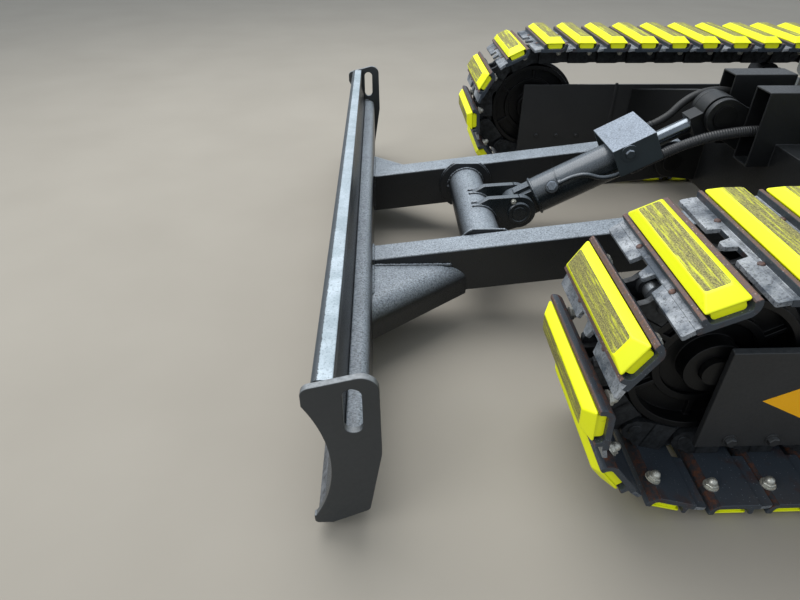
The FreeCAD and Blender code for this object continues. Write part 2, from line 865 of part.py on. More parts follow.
def gusset():
    """The folded corner plate between the arm and the back of the blade."""
    y0 = arm_middle + arm_width / 2
    top = arm_front_height + arm_height / 2 - gusset_top_step
    bottom = arm_front_height - arm_height / 2 + gusset_bottom_rise
    block = slab_xy([(blade_x, y0), (blade_x, y0 + gusset_reach), (blade_x - gusset_length, y0)], bottom, top)
    edge = [e for e in block.Edges if abs(e.CenterOfMass.z - top) < 0.01
            and abs(e.CenterOfMass.y - y0 - gusset_reach / 2) < 1 and e.Length > gusset_length]
    return block.makeFillet(gusset_radius, edge)


def cross_tube():
    """The tube between the arms, with a round doubler at each end."""
    half = arm_middle - arm_width / 2
    tube = cross_rod(tube_x, tube_height, -half, half, tube_diameter)
    pieces = []
    band = box(tube_x - doubler_diameter, tube_x + doubler_diameter, -half, half,
               tube_height - doubler_half_height, tube_height + doubler_half_height)
    for y0, y1 in ((-half, -half + doubler_thickness), (half - doubler_thickness, half)):
        pieces.append(cross_rod(tube_x, tube_height, y0, y1, doubler_diameter).common(band))
    return joined(tube, *pieces)


def cylinder_clevis():
    """Two ears welded to the tube for the cylinder's foot."""
    ears = []
    for y in (-ear_gap / 2 - ear_thickness, ear_gap / 2):
        plate = slab_xz([(tube_x + 12, tube_height + 47), (tube_x - 26, tube_height + 70),
                         (clevis_x + 4, clevis_height + ear_radius), (clevis_x, clevis_height - ear_radius),
                         (tube_x - 20, tube_height - 48)], y, y + ear_thickness)
        boss = cross_rod(clevis_x, clevis_height, y, y + ear_thickness, 2 * ear_radius)
        tube = cross_rod(tube_x, tube_height, y - 1, y + ear_thickness + 1, tube_diameter)
        bore = cross_rod(clevis_x, clevis_height, y - 1, y + ear_thickness + 1,
                         clevis_pin_diameter + 2 * pin_fit)
        ears.append(plate.fuse(boss).cut([tube, bore]))
    return Part.makeCompound(ears)


# Blade cylinder, drawn along its own axis and then turned into place
cylinder_vector = V(rod_pin_x - clevis_x, 0, rod_pin_height - clevis_height)
cylinder_length = cylinder_vector.Length


def on_cylinder(shape):
    """Moves a piece from its own X axis, with the clevis pin at the origin, to its place."""
    shape.rotate(V(0, 0, 0), V(0, 0, 1), 180)
    angle = math.degrees(math.atan2(cylinder_vector.z, -cylinder_vector.x))
    shape.rotate(V(0, 0, 0), V(0, 1, 0), angle)
    shape.translate(V(clevis_x, 0, clevis_height))
    return shape


def port_direction():
    angle = math.radians(port_turn)
    return V(0, -math.cos(angle), math.sin(angle))


def port_stub_end():
    """Where the oil pipe leaves the stub beside the port."""
    return V(port_position + pipe_start, 0, 0) + port_direction() * (barrel_diameter / 2 + pipe_diameter / 2 + 1)


def barrel_ports():
    """The boss and stub of the left port, and the elbow of the right one."""
    boss = rod_along(V(port_position, 0, 0), port_direction(), port_boss_diameter,
                     barrel_diameter / 2 + port_boss_height)
    stub = rod_along(port_stub_end() - V(pipe_start, 0, 0), V(1, 0, 0), pipe_diameter + 4, pipe_start)
    side, height = right_hose_route[0][1:]
    bend = guard_end - 2 * right_hose_diameter - guard_sheet
    elbow = rod_along(V(bend, 0, height), V(0, 1, 0), right_pipe_diameter, side + right_pipe_diameter / 2)
    pipe = rod_along(V(bend, side, height), V(1, 0, 0), right_pipe_diameter,
                     right_hose_start - coupler_length - bend)
    return [boss, stub, elbow, pipe]


def tube_through(points, diameter):
    """A round tube along straight runs, with each corner as wide an arc as its runs allow."""
    corners = [(points[0], 0)]
    for before, corner, after in zip(points[:-2], points[1:-1], points[2:]):
        turn = (corner - before).getAngle(after - corner)
        reach = 0.45 * min((corner - before).Length, (after - corner).Length)
        corners.append((corner, reach / math.tan(turn / 2)))
    path = rounded_wire(corners + [(points[-1], 0)], False)
    ring = Part.Wire(Part.makeCircle(diameter / 2, points[0], points[1] - points[0]))
    radii = [round(radius) for corner, radius in corners[1:]]
    print("tube", diameter, "radii", radii, "length", round(path.Length))
    return path.makePipeShell([ring], True, False)


def oil_pipe():
    """The steel pipe from the port round the barrel to the hose at its end."""
    end_side, end_height = left_hose_route[0][1:]
    points = [port_stub_end(), port_stub_end() + V(30, 0, 0), V(port_position + 86, end_side + 4, 26),
              V(port_position + 118, end_side, -2), V(port_position + 148, end_side, end_height),
              V(left_hose_start - coupler_length, end_side, end_height)]
    return on_cylinder(tube_through(points, pipe_diameter))


def hose_couplers():
    """The swaged couplers where the hoses leave the cylinder."""
    couplers = []
    for route, diameter in ((left_hose_route, left_hose_diameter), (right_hose_route, right_hose_diameter)):
        start = V(*route[0]) - V(coupler_length, 0, 0)
        couplers.append(rod_along(start, V(1, 0, 0), diameter + 2 * coupler_wall, coupler_length))
    return on_cylinder(Part.makeCompound(couplers))


def lift_hose_left():
    return on_cylinder(tube_through([V(*point) for point in left_hose_route], left_hose_diameter))


def lift_hose_right():
    return on_cylinder(tube_through([V(*point) for point in right_hose_route], right_hose_diameter))


def cylinder_barrel():
    eye = cross_rod(0, 0, -eye_width / 2, eye_width / 2, eye_height)
    neck = box(0, barrel_start + 2, -eye_width / 2, eye_width / 2, -eye_height / 2 + 6, eye_height / 2 - 6)
    block = box(8, barrel_start + 2, -eye_block_width / 2, eye_block_width / 2,
                -eye_block_height / 2, eye_block_height / 2)
    barrel = rod_along(V(barrel_start, 0, 0), V(1, 0, 0), barrel_diameter, barrel_end - barrel_start)
    gland = rod_along(V(barrel_end - 1, 0, 0), V(1, 0, 0), gland_diameter, gland_length + 1)
    ledge = guard_half_width - guard_sheet
    spacer = rod_along(V(guard_boss_place, -ledge, guard_boss_height), V(0, 1, 0),
                       guard_boss_diameter, 2 * ledge)
    bore = cross_rod(0, 0, -eye_width, eye_width, clevis_pin_diameter + 2 * pin_fit)
    rod_bore = rod_along(V(barrel_end - rod_bore_depth, 0, 0), V(1, 0, 0), rod_diameter + 1,
                         rod_bore_depth + 2 * gland_length)
    body = joined(eye, neck, block, barrel, gland, spacer, *barrel_ports()).cut([bore, rod_bore])
    return on_cylinder(body)


def cylinder_guard():
    """A folded sheet over the end of the barrel."""
    section = [(-guard_half_width, -guard_skirt), (-guard_half_width + guard_sheet, -guard_skirt),
               (-guard_half_width + guard_sheet, guard_top - guard_sheet),
               (guard_half_width - guard_sheet, guard_top - guard_sheet),
               (guard_half_width - guard_sheet, -guard_skirt), (guard_half_width, -guard_skirt),
               (guard_half_width, guard_top), (-guard_half_width, guard_top)]
    return on_cylinder(slab_yz(section, guard_start, guard_end))


def cylinder_rod():
    piston = rod_along(V(barrel_end - rod_inside, 0, 0), V(1, 0, 0), rod_diameter,
                       rod_eye_front + rod_inside - barrel_end)
    eye = cross_rod(cylinder_length, 0, -rod_eye_width / 2, rod_eye_width / 2, rod_eye_diameter)
    neck = box(rod_eye_front, cylinder_length, -rod_eye_width / 2, rod_eye_width / 2, -26, 26)
    bore = cross_rod(cylinder_length, 0, -rod_eye_width, rod_eye_width,
                     rod_pin_diameter + 2 * eye_drift + 1)
    return on_cylinder(joined(piston, eye, neck).cut(bore))


def pin_between(x, z, half, diameter, head):
    """A plain pin with a head at each side."""
    return cross_rod(x, z, -half, half, diameter).fuse(
        [cross_rod(x, z, -half - head, -half, diameter + 16),
         cross_rod(x, z, half, half + head, diameter + 16)]).removeSplitter()


os.makedirs("parts", exist_ok=True)
left_pieces = {
    "track": track,
    "side_frame": side_frame,
    "idler": idler,
    "idler_shaft": idler_shaft,
    "bottom_rollers": bottom_rollers,
    "top_roller": top_roller,
    "sprocket": sprocket,
    "travel_motor": travel_motor,
    "end_plate": end_plate_left,
    "push_arm": push_arm,
    "gusset": gusset,
}
for piece_name, make in left_pieces.items():
    piece = make()
    save(piece_name + "_left", piece)
    save(piece_name + "_right", mirrored(piece))

pin_half = arm_width / 2 + lug_side_gap + lug_thickness
left_pin = pin_between(pivot_x, pivot_height, pin_half, pivot_pin_diameter, 6)
left_pin.translate(V(0, arm_middle, 0))
save("arm_pins", both_sides(left_pin))
save("centre_frame", centre_frame())
save("arm_bracket", arm_bracket())
save("slew_ring_outer", slew_ring_outer())
save("slew_ring_inner", slew_ring_inner())
save("swivel_joint", swivel_joint())
save("mouldboard", mouldboard())
save("cutting_edge", cutting_edge())
save("rear_beam", rear_beam())
save("cross_tube", cross_tube())
save("cylinder_clevis", cylinder_clevis())
save("clevis_pin", pin_between(clevis_x, clevis_height, ear_gap / 2 + ear_thickness, clevis_pin_diameter, 8))
save("cylinder_barrel", cylinder_barrel())
save("cylinder_guard", cylinder_guard())
save("cylinder_rod", cylinder_rod())
save("oil_pipe", oil_pipe())
save("hose_couplers", hose_couplers())
save("lift_hose_left", lift_hose_left())
save("lift_hose_right", lift_hose_right())
save("rod_pin", pin_between(rod_pin_x, rod_pin_height, rod_lug_gap / 2 + lug_thickness, rod_pin_diameter,
                            rod_pin_head))

print("whole length", round(whole_length, 1), "idler", round(idler_x, 1), "span", round(wheel_span, 2))
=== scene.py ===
# %% [markdown]
# # Undercarriage of a mini excavator with its dozer blade
# The frame from the CAD model is loaded first. Each lesson cell then adds one kind of surface
# or piece.

# %%
# Load the frame
import bpy
import bmesh
import math
from mathutils import Matrix, Vector


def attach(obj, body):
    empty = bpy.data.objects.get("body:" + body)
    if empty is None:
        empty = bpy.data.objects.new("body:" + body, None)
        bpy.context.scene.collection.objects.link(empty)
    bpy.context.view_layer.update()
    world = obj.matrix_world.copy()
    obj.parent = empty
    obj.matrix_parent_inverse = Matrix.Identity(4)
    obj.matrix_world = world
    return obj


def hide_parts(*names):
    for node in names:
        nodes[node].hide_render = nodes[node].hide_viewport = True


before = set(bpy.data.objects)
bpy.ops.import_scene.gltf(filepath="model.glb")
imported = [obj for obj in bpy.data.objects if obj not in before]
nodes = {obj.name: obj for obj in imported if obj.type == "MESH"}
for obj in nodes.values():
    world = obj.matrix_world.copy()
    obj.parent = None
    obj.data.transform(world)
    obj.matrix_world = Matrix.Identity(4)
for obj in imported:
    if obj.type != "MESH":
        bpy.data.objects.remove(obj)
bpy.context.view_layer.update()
scene = bpy.context.scene
MM = 0.001
print("CAD nodes:", len(nodes))

# %% [markdown]
# ## Places that the pieces share
# The idler axle is the place that everything in the machine is measured from. These few sizes
# repeat the CAD model's own, so that bolts, welds and hoses land on the solids that carry them.

# %%
# Sizes in millimetres, and the axes of the blade cylinder
IDLER_X, WHEEL_Z, TRACK_Y = 616.6, 251.35, 700
WHEEL_SPAN = 1650.69
SPROCKET_X = IDLER_X - WHEEL_SPAN
SLEW_X = IDLER_X - 825
FRAME_SIDE = 61  # from the middle of a track to the face of its side frame
PIVOT_X, PIVOT_Z = IDLER_X - 320, 233
ARM_Y, ARM_HALF = 240, 34
TUBE_X, TUBE_Z = IDLER_X + 288, 160
BEAM_X = IDLER_X + 565  # the rear face of the beam behind the blade's board
BOARD_ORIGIN = BEAM_X - 25  # where the section of the board is measured from
FOOT = Vector((IDLER_X + 178, 0, 190))
ROD_PIN = Vector((IDLER_X - 296, 0, 440))
ALONG = (ROD_PIN - FOOT).normalized()
ABOVE = Vector((ALONG.z, 0, -ALONG.x))
TO_RIGHT = Vector((0, -1, 0))


def on_cylinder(along, side, above):
    """A place by the blade cylinder: from its foot pin, to the machine's right, and above it."""
    return FOOT + ALONG * along + TO_RIGHT * side + ABOVE * above


print("cylinder length", round((ROD_PIN - FOOT).length), "square side up", round(ABOVE.z, 2))

# %% [markdown]
# ## Camera and light
# The camera stands at the machine's left, above the blade, where the photographer stood. Its place,
# its axes and its lens were fitted to the photo.
# A large soft light above and a pale sky give the even light of an overcast yard.

# %%
# Camera
CAMERA_PLACE = (IDLER_X * MM + 0.54, 1.4365, 0.8936)
CAMERA_RIGHT = (-0.99954, 0.03057, 0.00555)
CAMERA_UP = (-0.01312, -0.5774, 0.8165)
CAMERA_BACK = (0.02816, 0.81602, 0.5775)
camera = bpy.data.objects.new("camera", bpy.data.cameras.new("camera"))
camera.data.sensor_width = 36
camera.data.lens = 26.27
turn = Matrix((CAMERA_RIGHT, CAMERA_UP, CAMERA_BACK)).transposed().to_4x4()
camera.matrix_world = Matrix.Translation(CAMERA_PLACE) @ turn
scene.collection.objects.link(camera)
scene.camera = camera
scene.view_settings.view_transform = "Standard"
print("lens", camera.data.lens)


# %%
# Sky and lamps
def linear(code):
    """An sRGB hex colour as linear values."""
    parts = [int(code[i:i + 2], 16) / 255 for i in (1, 3, 5)]
    return [c / 12.92 if c <= 0.04045 else ((c + 0.055) / 1.055) ** 2.4 for c in parts] + [1]


LIT_PLACE = Vector((0.4, 0, 0.2))  # both lamps point here, in metres
world = bpy.data.worlds.new("overcast")
world.use_nodes = True
sky = world.node_tree.nodes["Background"]
sky.inputs["Color"].default_value = linear("#dfe8f2")
sky.inputs["Strength"].default_value = 0.85
scene.world = world
for name, place, size, power in (
    ("overhead", (1.6, -1.0, 3.6), 3.4, 150),
    ("front", (3.6, 2.2, 2.4), 1.8, 40),
):
    lamp = bpy.data.lights.new(name, "AREA")
    lamp.size, lamp.energy = size, power
    holder = bpy.data.objects.new(name, lamp)
    aim = (LIT_PLACE - Vector(place)).to_track_quat("-Z", "Y").to_matrix().to_4x4()
    holder.matrix_world = Matrix.Translation(place) @ aim
    scene.collection.objects.link(holder)
print("lamps set")

# %% [markdown]
# ## Materials
# Every finish is a small node graph. Pattern sizes are real millimetres in object space.


# %%
# Node helpers
def add(tree, kind, inputs, **settings):
    """Adds one node. Inputs are constants or other nodes' sockets."""
    node = tree.nodes.new("ShaderNode" + kind)
    for name, value in settings.items():
        setattr(node, name, value)
    for key, value in inputs.items():
        if isinstance(value, bpy.types.NodeSocket):
            tree.links.new(value, node.inputs[key])
        else:
            node.inputs[key].default_value = value
    return node


def noise(tree, where, size_mm, detail, roughness):
    """Cloudy noise whose largest features have a size in millimetres."""
    inputs = {"Vector": where, "Scale": 1000 / size_mm, "Detail": detail, "Roughness": roughness}
    return add(tree, "TexNoise", inputs).outputs[0]


def ranged(tree, value, low, high, start, end):
    """A value that runs from start to end while the one given runs from low to high."""
    return add(tree, "MapRange", {0: value, 1: low, 2: high, 3: start, 4: end}).outputs[0]


def mixed(tree, share, first, second):
    """A colour between two. Each is an sRGB code or the colour of another node."""
    ends = [linear(end) if isinstance(end, str) else end for end in (first, second)]
    inputs = {0: share, 6: ends[0], 7: ends[1]}
    return add(tree, "Mix", inputs, data_type="RGBA").outputs[2]


def uneven(tree, height, strength, depth_mm):
    """A bump that makes the surface catch the light unevenly."""
    inputs = {"Height": height, "Strength": strength, "Distance": depth_mm * MM}
    return add(tree, "Bump", inputs).outputs[0]


def blank(name):
    """A new material with its tree, its shader and object coordinates."""
    material = bpy.data.materials.new(name)
    material.use_nodes = True
    tree = material.node_tree
    where = add(tree, "TexCoord", {}).outputs["Object"]
    return material, tree, tree.nodes["Principled BSDF"], where


def finish_material(tree, shader, **inputs):
    """Gives the shader's inputs of these names their sockets or constants."""
    for name, value in inputs.items():
        entry = shader.inputs[name.replace("_", " ")]
        if isinstance(value, bpy.types.NodeSocket):
            tree.links.new(value, entry)
        else:
            entry.default_value = value


print("node helpers ready")


# %%
# Paint: a base coat with a cloudy second tone, a film of settled dust and painted sky sheen on
# upper faces, and an uneven skin
def paint(name, base, shade, dust_and_sheen, dust_and_sheen_share, roughness, skin_mm, skin, fleck_and_glint):
    """Sprayed enamel over worn steel. The skin is orange peel, drawn as coarse as it shows. Upper
    faces take a speckled film of settled dust and painted sky sheen.
    """
    material, tree, shader, where = blank(name)
    cloud = noise(tree, where, 90, 5, 0.6)
    grit = noise(tree, where, skin_mm, 4, 0.75)
    coat = mixed(tree, cloud, base, shade)
    normal = add(tree, "NewGeometry", {}).outputs["Normal"]
    level = add(tree, "SeparateXYZ", {0: normal}).outputs[2]
    # Upper faces take the dust colour in speckled patches: settled dust and painted sky sheen.
    flat = ranged(tree, level, 0.25, 0.95, 0, dust_and_sheen_share)
    speck = ranged(tree, grit, 0.5 - fleck_and_glint / 2, 0.5 + fleck_and_glint / 2, 0.25, 1)
    patch = ranged(tree, cloud, 0.3, 0.7, 0.75, 1)
    film = add(tree, "Math", {0: flat, 1: speck}, operation="MULTIPLY").outputs[0]
    film = add(tree, "Math", {0: film, 1: patch}, operation="MULTIPLY").outputs[0]
    finish_material(
        tree, shader,
        Base_Color=mixed(tree, film, coat, dust_and_sheen),
        Roughness=ranged(tree, grit, 0.3, 0.7, roughness - 0.08, roughness + 0.12),
        Normal=uneven(tree, grit, skin, 1.2),
    )
    return material


# The blade's arms and beam: coarse orange peel that breaks the sky into a fine sparkle, with more
# sparkle painted in as speckled sky sheen and dust on upper faces
sprayed_slate = paint("sprayed_slate_paint", "#171a1e", "#101316", "#b9c4ce", dust_and_sheen_share=0.82,
                      roughness=0.32, skin_mm=3.6, skin=0.6, fleck_and_glint=0.28)
# End plates: a flatter grey coat with a soft sheen
satin_slate = paint("satin_slate_paint", "#2e3235", "#26292b", "#b0b5b8", dust_and_sheen_share=0.75,
                    roughness=0.42, skin_mm=8, skin=0.15, fleck_and_glint=0.5)
# Side frames: near-black enamel that greys a little where it faces up, with dust and painted sky
# sheen
frame_black = paint("frame_black_paint", "#2a2b2c", "#202122", "#6a7074", dust_and_sheen_share=0.45,
                    roughness=0.45, skin_mm=7, skin=0.2, fleck_and_glint=0.5)
# Centre frame: the same enamel with its colour darkened as painted shade, deep in the machine's
# shade
deck_painted_shade = paint("deck_black_painted_shade", "#101213", "#0a0b0c", "#3c4144", dust_and_sheen_share=0.3,
                   roughness=0.4, skin_mm=7, skin=0.25, fleck_and_glint=0.4)
# Cylinder guard: the palest coat, its upper faces blue with dust and painted sky sheen
guard_grey = paint("guard_grey_paint", "#2e3639", "#262c2f", "#bcc8d8", dust_and_sheen_share=0.85,
                   roughness=0.42, skin_mm=4, skin=0.25, fleck_and_glint=0.3)
# Barrel: a smooth, glossier coat that draws one long highlight, strengthened by a painted sheen
# along its upper side
barrel_grey = paint("barrel_grey_paint", "#1c2225", "#14181a", "#98a2ac", dust_and_sheen_share=0.55,
                    roughness=0.25, skin_mm=3, skin=0.05, fleck_and_glint=1.6)
# Diamonds: flat orange film
diamond_paint = paint("orange_diamond_paint", "#ffb903", "#f7b002", "#ffc84a", dust_and_sheen_share=0.1,
                      roughness=0.35, skin_mm=3, skin=0.05, fleck_and_glint=0.5)
print("paints ready")


# %%
# Metals, rubber and nylon whose tone wanders with their grain
def metal(name, bright, dull, roughness, grain_mm, metallic, contrast, skin):
    """A plain surface with a wandering tone, smoother where it is bright."""
    material, tree, shader, where = blank(name)
    grain = noise(tree, where, grain_mm, 5, 0.7)
    wear = ranged(tree, grain, 0.5 - contrast, 0.5 + contrast, 0, 1)
    finish_material(
        tree, shader,
        Base_Color=mixed(tree, wear, dull, bright),
        Roughness=ranged(tree, wear, 0, 1, roughness + 0.2, roughness),
        Normal=uneven(tree, grain, skin, 0.8),
        Metallic=metallic,
    )
    return material


# Wheels and rollers: oily black castings that show by their highlights alone
cast_iron = metal("cast_iron_black", "#101112", "#050506", roughness=0.3, grain_mm=9,
                  metallic=0.3, contrast=0.3, skin=0.2)
# Chain: forged scale, rubbed grey on its high places
link_iron = metal("forged_link_iron", "#3a3d40", "#0c0d0e", roughness=0.4, grain_mm=14,
                  metallic=0.4, contrast=0.2, skin=0.3)
# Nuts and keepers: pale plating
zinc = metal("zinc_plate", "#dcdcd2", "#8e8d84", roughness=0.35, grain_mm=3,
             metallic=0.75, contrast=0.3, skin=0.1)
# Rod: a mirror that shows the sky as a bright line, its colour darkened as a painted reflection of
# the dark machine body that would stand above it
chrome_painted_dark = metal("hard_chrome_painted_dark", "#7c8288", "#5d6368", roughness=0.12, grain_mm=30,
               metallic=1, contrast=0.4, skin=0.02)
# Slew ring and bushings: clean turned steel
machined = metal("machined_steel", "#a9adb0", "#74787b", roughness=0.3, grain_mm=5,
                 metallic=0.9, contrast=0.3, skin=0.05)
# Cutting edge: ground bright by the soil, dark in its hollows
edge_steel = metal("worn_edge_steel", "#8d9196", "#3a3b3c", roughness=0.45, grain_mm=16,
                   metallic=0.7, contrast=0.25, skin=0.4)
# Hose cover: matt black
hose_rubber = metal("hose_rubber", "#202122", "#0e0f0f", roughness=0.45, grain_mm=4,
                    metallic=0, contrast=0.3, skin=0.2)
# Spiral wrap: a little glossier than the hose, so that its ribs show
wrap_nylon = metal("spiral_wrap_nylon", "#2b2c2e", "#151616", roughness=0.35, grain_mm=6,
                   metallic=0, contrast=0.3, skin=0.1)


def worn_steel(name, bright, dull, spot, painted_from=None):
    """Steel rubbed bright in patches, with dark scale in its pits.

    Beyond the X of painted_from the old paint is left, with a chipped border.
    """
    material, tree, shader, where = blank(name)
    patch = noise(tree, where, 70, 6, 0.65)
    pits = noise(tree, where, 4, 4, 0.8)
    rub = ranged(tree, patch, 0.4, 0.62, 0, 1)
    tone = mixed(tree, rub, dull, bright)
    colour = mixed(tree, ranged(tree, pits, 0.52, 0.64, 0, 0.85), tone, spot)
    if painted_from:
        chip = 12
        inputs = {0: pits, 1: chip * MM, 2: (painted_from - chip / 2) * MM}
        border = add(tree, "Math", inputs, operation="MULTIPLY_ADD").outputs[0]
        x = add(tree, "SeparateXYZ", {0: where}).outputs[0]
        left = add(tree, "Math", {0: x, 1: border}, operation="GREATER_THAN").outputs[0]
        colour = mixed(tree, left, colour, "#394045")
    finish_material(
        tree, shader,
        Base_Color=colour,
        Roughness=ranged(tree, rub, 0, 1, 0.6, 0.4),
        Normal=uneven(tree, pits, 0.5, 1.2),
        Metallic=0.3,
    )
    return material


# Shoe lips: rubbed bright, spotted where the scale holds
lip_steel = worn_steel("worn_shoe_lip_steel", "#a4a8ac", "#474f58", "#24282c")
# Bar on the blade's top: silver, with a strip of paint left at its front
bar_silver = worn_steel("worn_bar_silver", "#aebac2", "#94a1a8", "#6d777d", IDLER_X + 634)


def rusting(name, steel, rust, share, patch_mm, roughness, fleck_and_glint, fleck_and_glint_size):
    """Rolled steel with scale, patches of rust and small flecks of a given colour; on the shoe
    steel these are painted glints.
    """
    material, tree, shader, where = blank(name)
    patch = noise(tree, where, patch_mm, 6, 0.7)
    pits = noise(tree, where, 3, 3, 0.8)
    spots = add(tree, "TexVoronoi", {0: where, "Scale": 1000 / 6}).outputs["Distance"]
    rusted = ranged(tree, patch, 0.5 - share, 0.72 - share, 0, 1)
    colour = mixed(tree, rusted, steel, mixed(tree, pits, "#1e1512", rust))
    shine = ranged(tree, spots, fleck_and_glint_size * 0.6, fleck_and_glint_size, 0.5, 0)
    finish_material(
        tree, shader,
        Base_Color=mixed(tree, shine, colour, fleck_and_glint),
        Normal=uneven(tree, pits, 0.5, 1),
        Roughness=roughness,
        Metallic=0.2,
    )
    return material


# Inside of the shoes: blue-black scale with small painted glints
shoe_steel = rusting("rolled_shoe_steel", "#373e46", "#5a3220", share=-0.05, patch_mm=45,
                     roughness=0.38, fleck_and_glint="#8f979f", fleck_and_glint_size=0.15)
# Joints between the shoes: damp rust, brown in blotches
joint_rust = rusting("rust_in_the_joints", "#262a2f", "#7a4220", share=0.06, patch_mm=11,
                     roughness=0.8, fleck_and_glint="#3a2216", fleck_and_glint_size=0.2)
# Tips of the grousers: dry rust worn pale by the ground
grouser_steel = rusting("rusty_grouser_steel", "#55494a", "#8a6657", share=0.1, patch_mm=6,
                        roughness=0.65, fleck_and_glint="#b9a9a0", fleck_and_glint_size=0.2)
print("metals ready")


# %%
# Track pads: fluorescent rubber, and the same rubber worn to streaks on its tread
def pad_rubber(name, worn):
    """Moulded rubber in a safety colour. Worn, it is grey-olive with streaks across the track."""
    material, tree, shader, where = blank(name)
    soil = noise(tree, where, 25, 6, 0.7)
    colour = mixed(tree, ranged(tree, soil, 0.62, 0.78, 0, 0.5), "#eef30a", "#8a8420")
    if worn:
        drawn = add(tree, "Mapping", {0: where, 3: (1, 0.05, 1)}).outputs[0]
        streak = noise(tree, drawn, 5, 4, 0.75)
        grime = ranged(tree, noise(tree, where, 1.8, 3, 0.7), 0.38, 0.62, 0, 1)
        tone = mixed(tree, grime, "#47442a", "#a09a55")
        colour = mixed(tree, ranged(tree, streak, 0.5, 0.66, 1, 0.35), colour, tone)
        bump, roughness = uneven(tree, streak, 0.6, 1.5), 0.75
    else:
        bump, roughness = uneven(tree, soil, 0.15, 1), 0.5
    finish_material(tree, shader, Base_Color=colour, Normal=bump, Roughness=roughness)
    return material


pad_yellow = pad_rubber("fluorescent_pad_rubber", False)
pad_tread = pad_rubber("worn_pad_tread", True)
print("rubber ready")

# %%
# Floor: plain pale concrete
concrete, tree, shader, where = blank("pale_floor")
tone = mixed(tree, noise(tree, where, 400, 4, 0.5), "#8f897e", "#9b958a")
finish_material(tree, shader, Base_Color=tone, Roughness=0.8)
bm = bmesh.new()
bmesh.ops.create_grid(bm, x_segments=1, y_segments=1, size=8)
mesh = bpy.data.meshes.new("floor")
bm.to_mesh(mesh)
bm.free()
mesh.materials.append(concrete)
floor = bpy.data.objects.new("floor", mesh)
scene.collection.objects.link(floor)
print("materials:", len(bpy.data.materials))

# %% [markdown]
# ## Shape helpers
# Pieces are made in bmesh, in the machine's own place, and each rides on its CAD body.

# %%
# From a bmesh to a finished piece
DOUBLES = 1e-6  # corners closer than this, in metres, are one


def piece(name, bm, materials, body, replaced=(), smooth=38):
    """A visible piece on a CAD body, with edges sharper than an angle in degrees kept sharp."""
    bmesh.ops.recalc_face_normals(bm, faces=bm.faces)
    mesh = bpy.data.meshes.new(name)
    bm.to_mesh(mesh)
    bm.free()
    for material in materials:
        mesh.materials.append(material)
    mesh.shade_smooth()
    mesh.set_sharp_from_angle(angle=math.radians(smooth))
    thing = bpy.data.objects.new(name, mesh)
    scene.collection.objects.link(thing)
    even = thing.modifiers.new("even_normals", "WEIGHTED_NORMAL")
    even.keep_sharp = True
    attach(thing, body)
    if replaced:
        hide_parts(*replaced)


def sharp_edges(bm, angle):
    """Edges whose faces meet at more than an angle in degrees."""
    return [e for e in bm.edges if e.is_manifold and e.calc_face_angle() > math.radians(angle)]


def soften(bm, edges, width, segments=2):
    """Rounds edges off by a width in millimetres."""
    bmesh.ops.bevel(bm, geom=edges, offset=width * MM, offset_type="OFFSET", segments=segments,
                    profile=0.5, affect="EDGES", clamp_overlap=False, material=-1)


def softened(node, name, materials, width, body, choose=None, segments=2):
    """The CAD node with its doubles merged and its edges broken.

    Choose picks a face's material from its centre in millimetres and its normal.
    """
    bm = bmesh.new()
    bm.from_mesh(nodes[node].data)
    bmesh.ops.remove_doubles(bm, verts=bm.verts, dist=DOUBLES)
    bmesh.ops.dissolve_limit(bm, angle_limit=math.radians(0.6), verts=bm.verts, edges=bm.edges)
    for face in bm.faces:
        face.material_index = choose(face.calc_center_median() / MM, face.normal) if choose else 0
    if width:
        soften(bm, sharp_edges(bm, 30), width, segments)
    piece(name, bm, materials, body, (node,))


print("piece helpers ready")

# %%
# Outlines and plates
CORNER_STEPS = 3


def rounded(corners):
    """Points of an outline from (x, z, radius) corners."""
    points = []
    for i, (x, z, radius) in enumerate(corners):
        corner = Vector((x, z))
        if radius == 0:
            points.append((x, z))
            continue
        before = (Vector(corners[i - 1][:2]) - corner).normalized()
        after = (Vector(corners[(i + 1) % len(corners)][:2]) - corner).normalized()
        half = before.angle(after) / 2
        centre = corner + (before + after).normalized() * (radius / math.sin(half))
        start = corner + before * (radius / math.tan(half)) - centre
        sweep = math.pi - 2 * half
        sign = 1 if before.cross(after) < 0 else -1
        for k in range(CORNER_STEPS + 1):
            spot = centre + Matrix.Rotation(sign * sweep * k / CORNER_STEPS, 2) @ start
            points.append((spot.x, spot.y))
    return points


def plate(bm, corners, depth, index):
    """A plate from corner points in millimetres, pushed out along a vector. Gives its corners."""
    face = bm.faces.new([bm.verts.new(Vector(corner) * MM) for corner in corners])
    face.material_index = index
    grown = bmesh.ops.extrude_face_region(bm, geom=[face], use_keep_orig=True)["geom"]
    tops = [v for v in grown if isinstance(v, bmesh.types.BMVert)]
    bmesh.ops.translate(bm, verts=tops, vec=Vector(depth) * MM)
    return list(face.verts) + tops


def prism(bm, points, y0, y1, index=0):
    """A plate from an outline in X and Z, between two sides."""
    plate(bm, [(x, y0, z) for x, z in points], (0, y1 - y0, 0), index)


print("plate helpers ready")

# %%
# Turned pieces and bolts
AXLE = 0.01  # a profile's radius at its own axis


def standing(at, axis):
    """Turns a piece's own Z to an axis and sets it at a place in millimetres."""
    turn = Vector((0, 0, 1)).rotation_difference(Vector(axis)).to_matrix().to_4x4()
    return Matrix.Translation(Vector(at) * MM) @ turn


def turned(bm, profile, at, axis, steps, index=0):
    """A turned piece from (along, radius) points in millimetres, about an axis."""
    verts = [bm.verts.new((r * MM, 0, a * MM)) for a, r in profile]
    edges = [bm.edges.new(pair) for pair in zip(verts[:-1], verts[1:])]
    known = set(bm.faces)
    bmesh.ops.spin(bm, geom=verts + edges, axis=(0, 0, 1), cent=(0, 0, 0), angle=2 * math.pi,
                   steps=steps, use_merge=True, use_duplicate=False)
    made = [f for f in bm.faces if f not in known]
    for face in made:
        face.material_index = index
    corners = list({v for f in made for v in f.verts})
    bmesh.ops.remove_doubles(bm, verts=corners, dist=DOUBLES)
    corners = list({v for f in bm.faces if f not in known for v in f.verts})
    bmesh.ops.transform(bm, matrix=standing(at, axis), verts=corners)


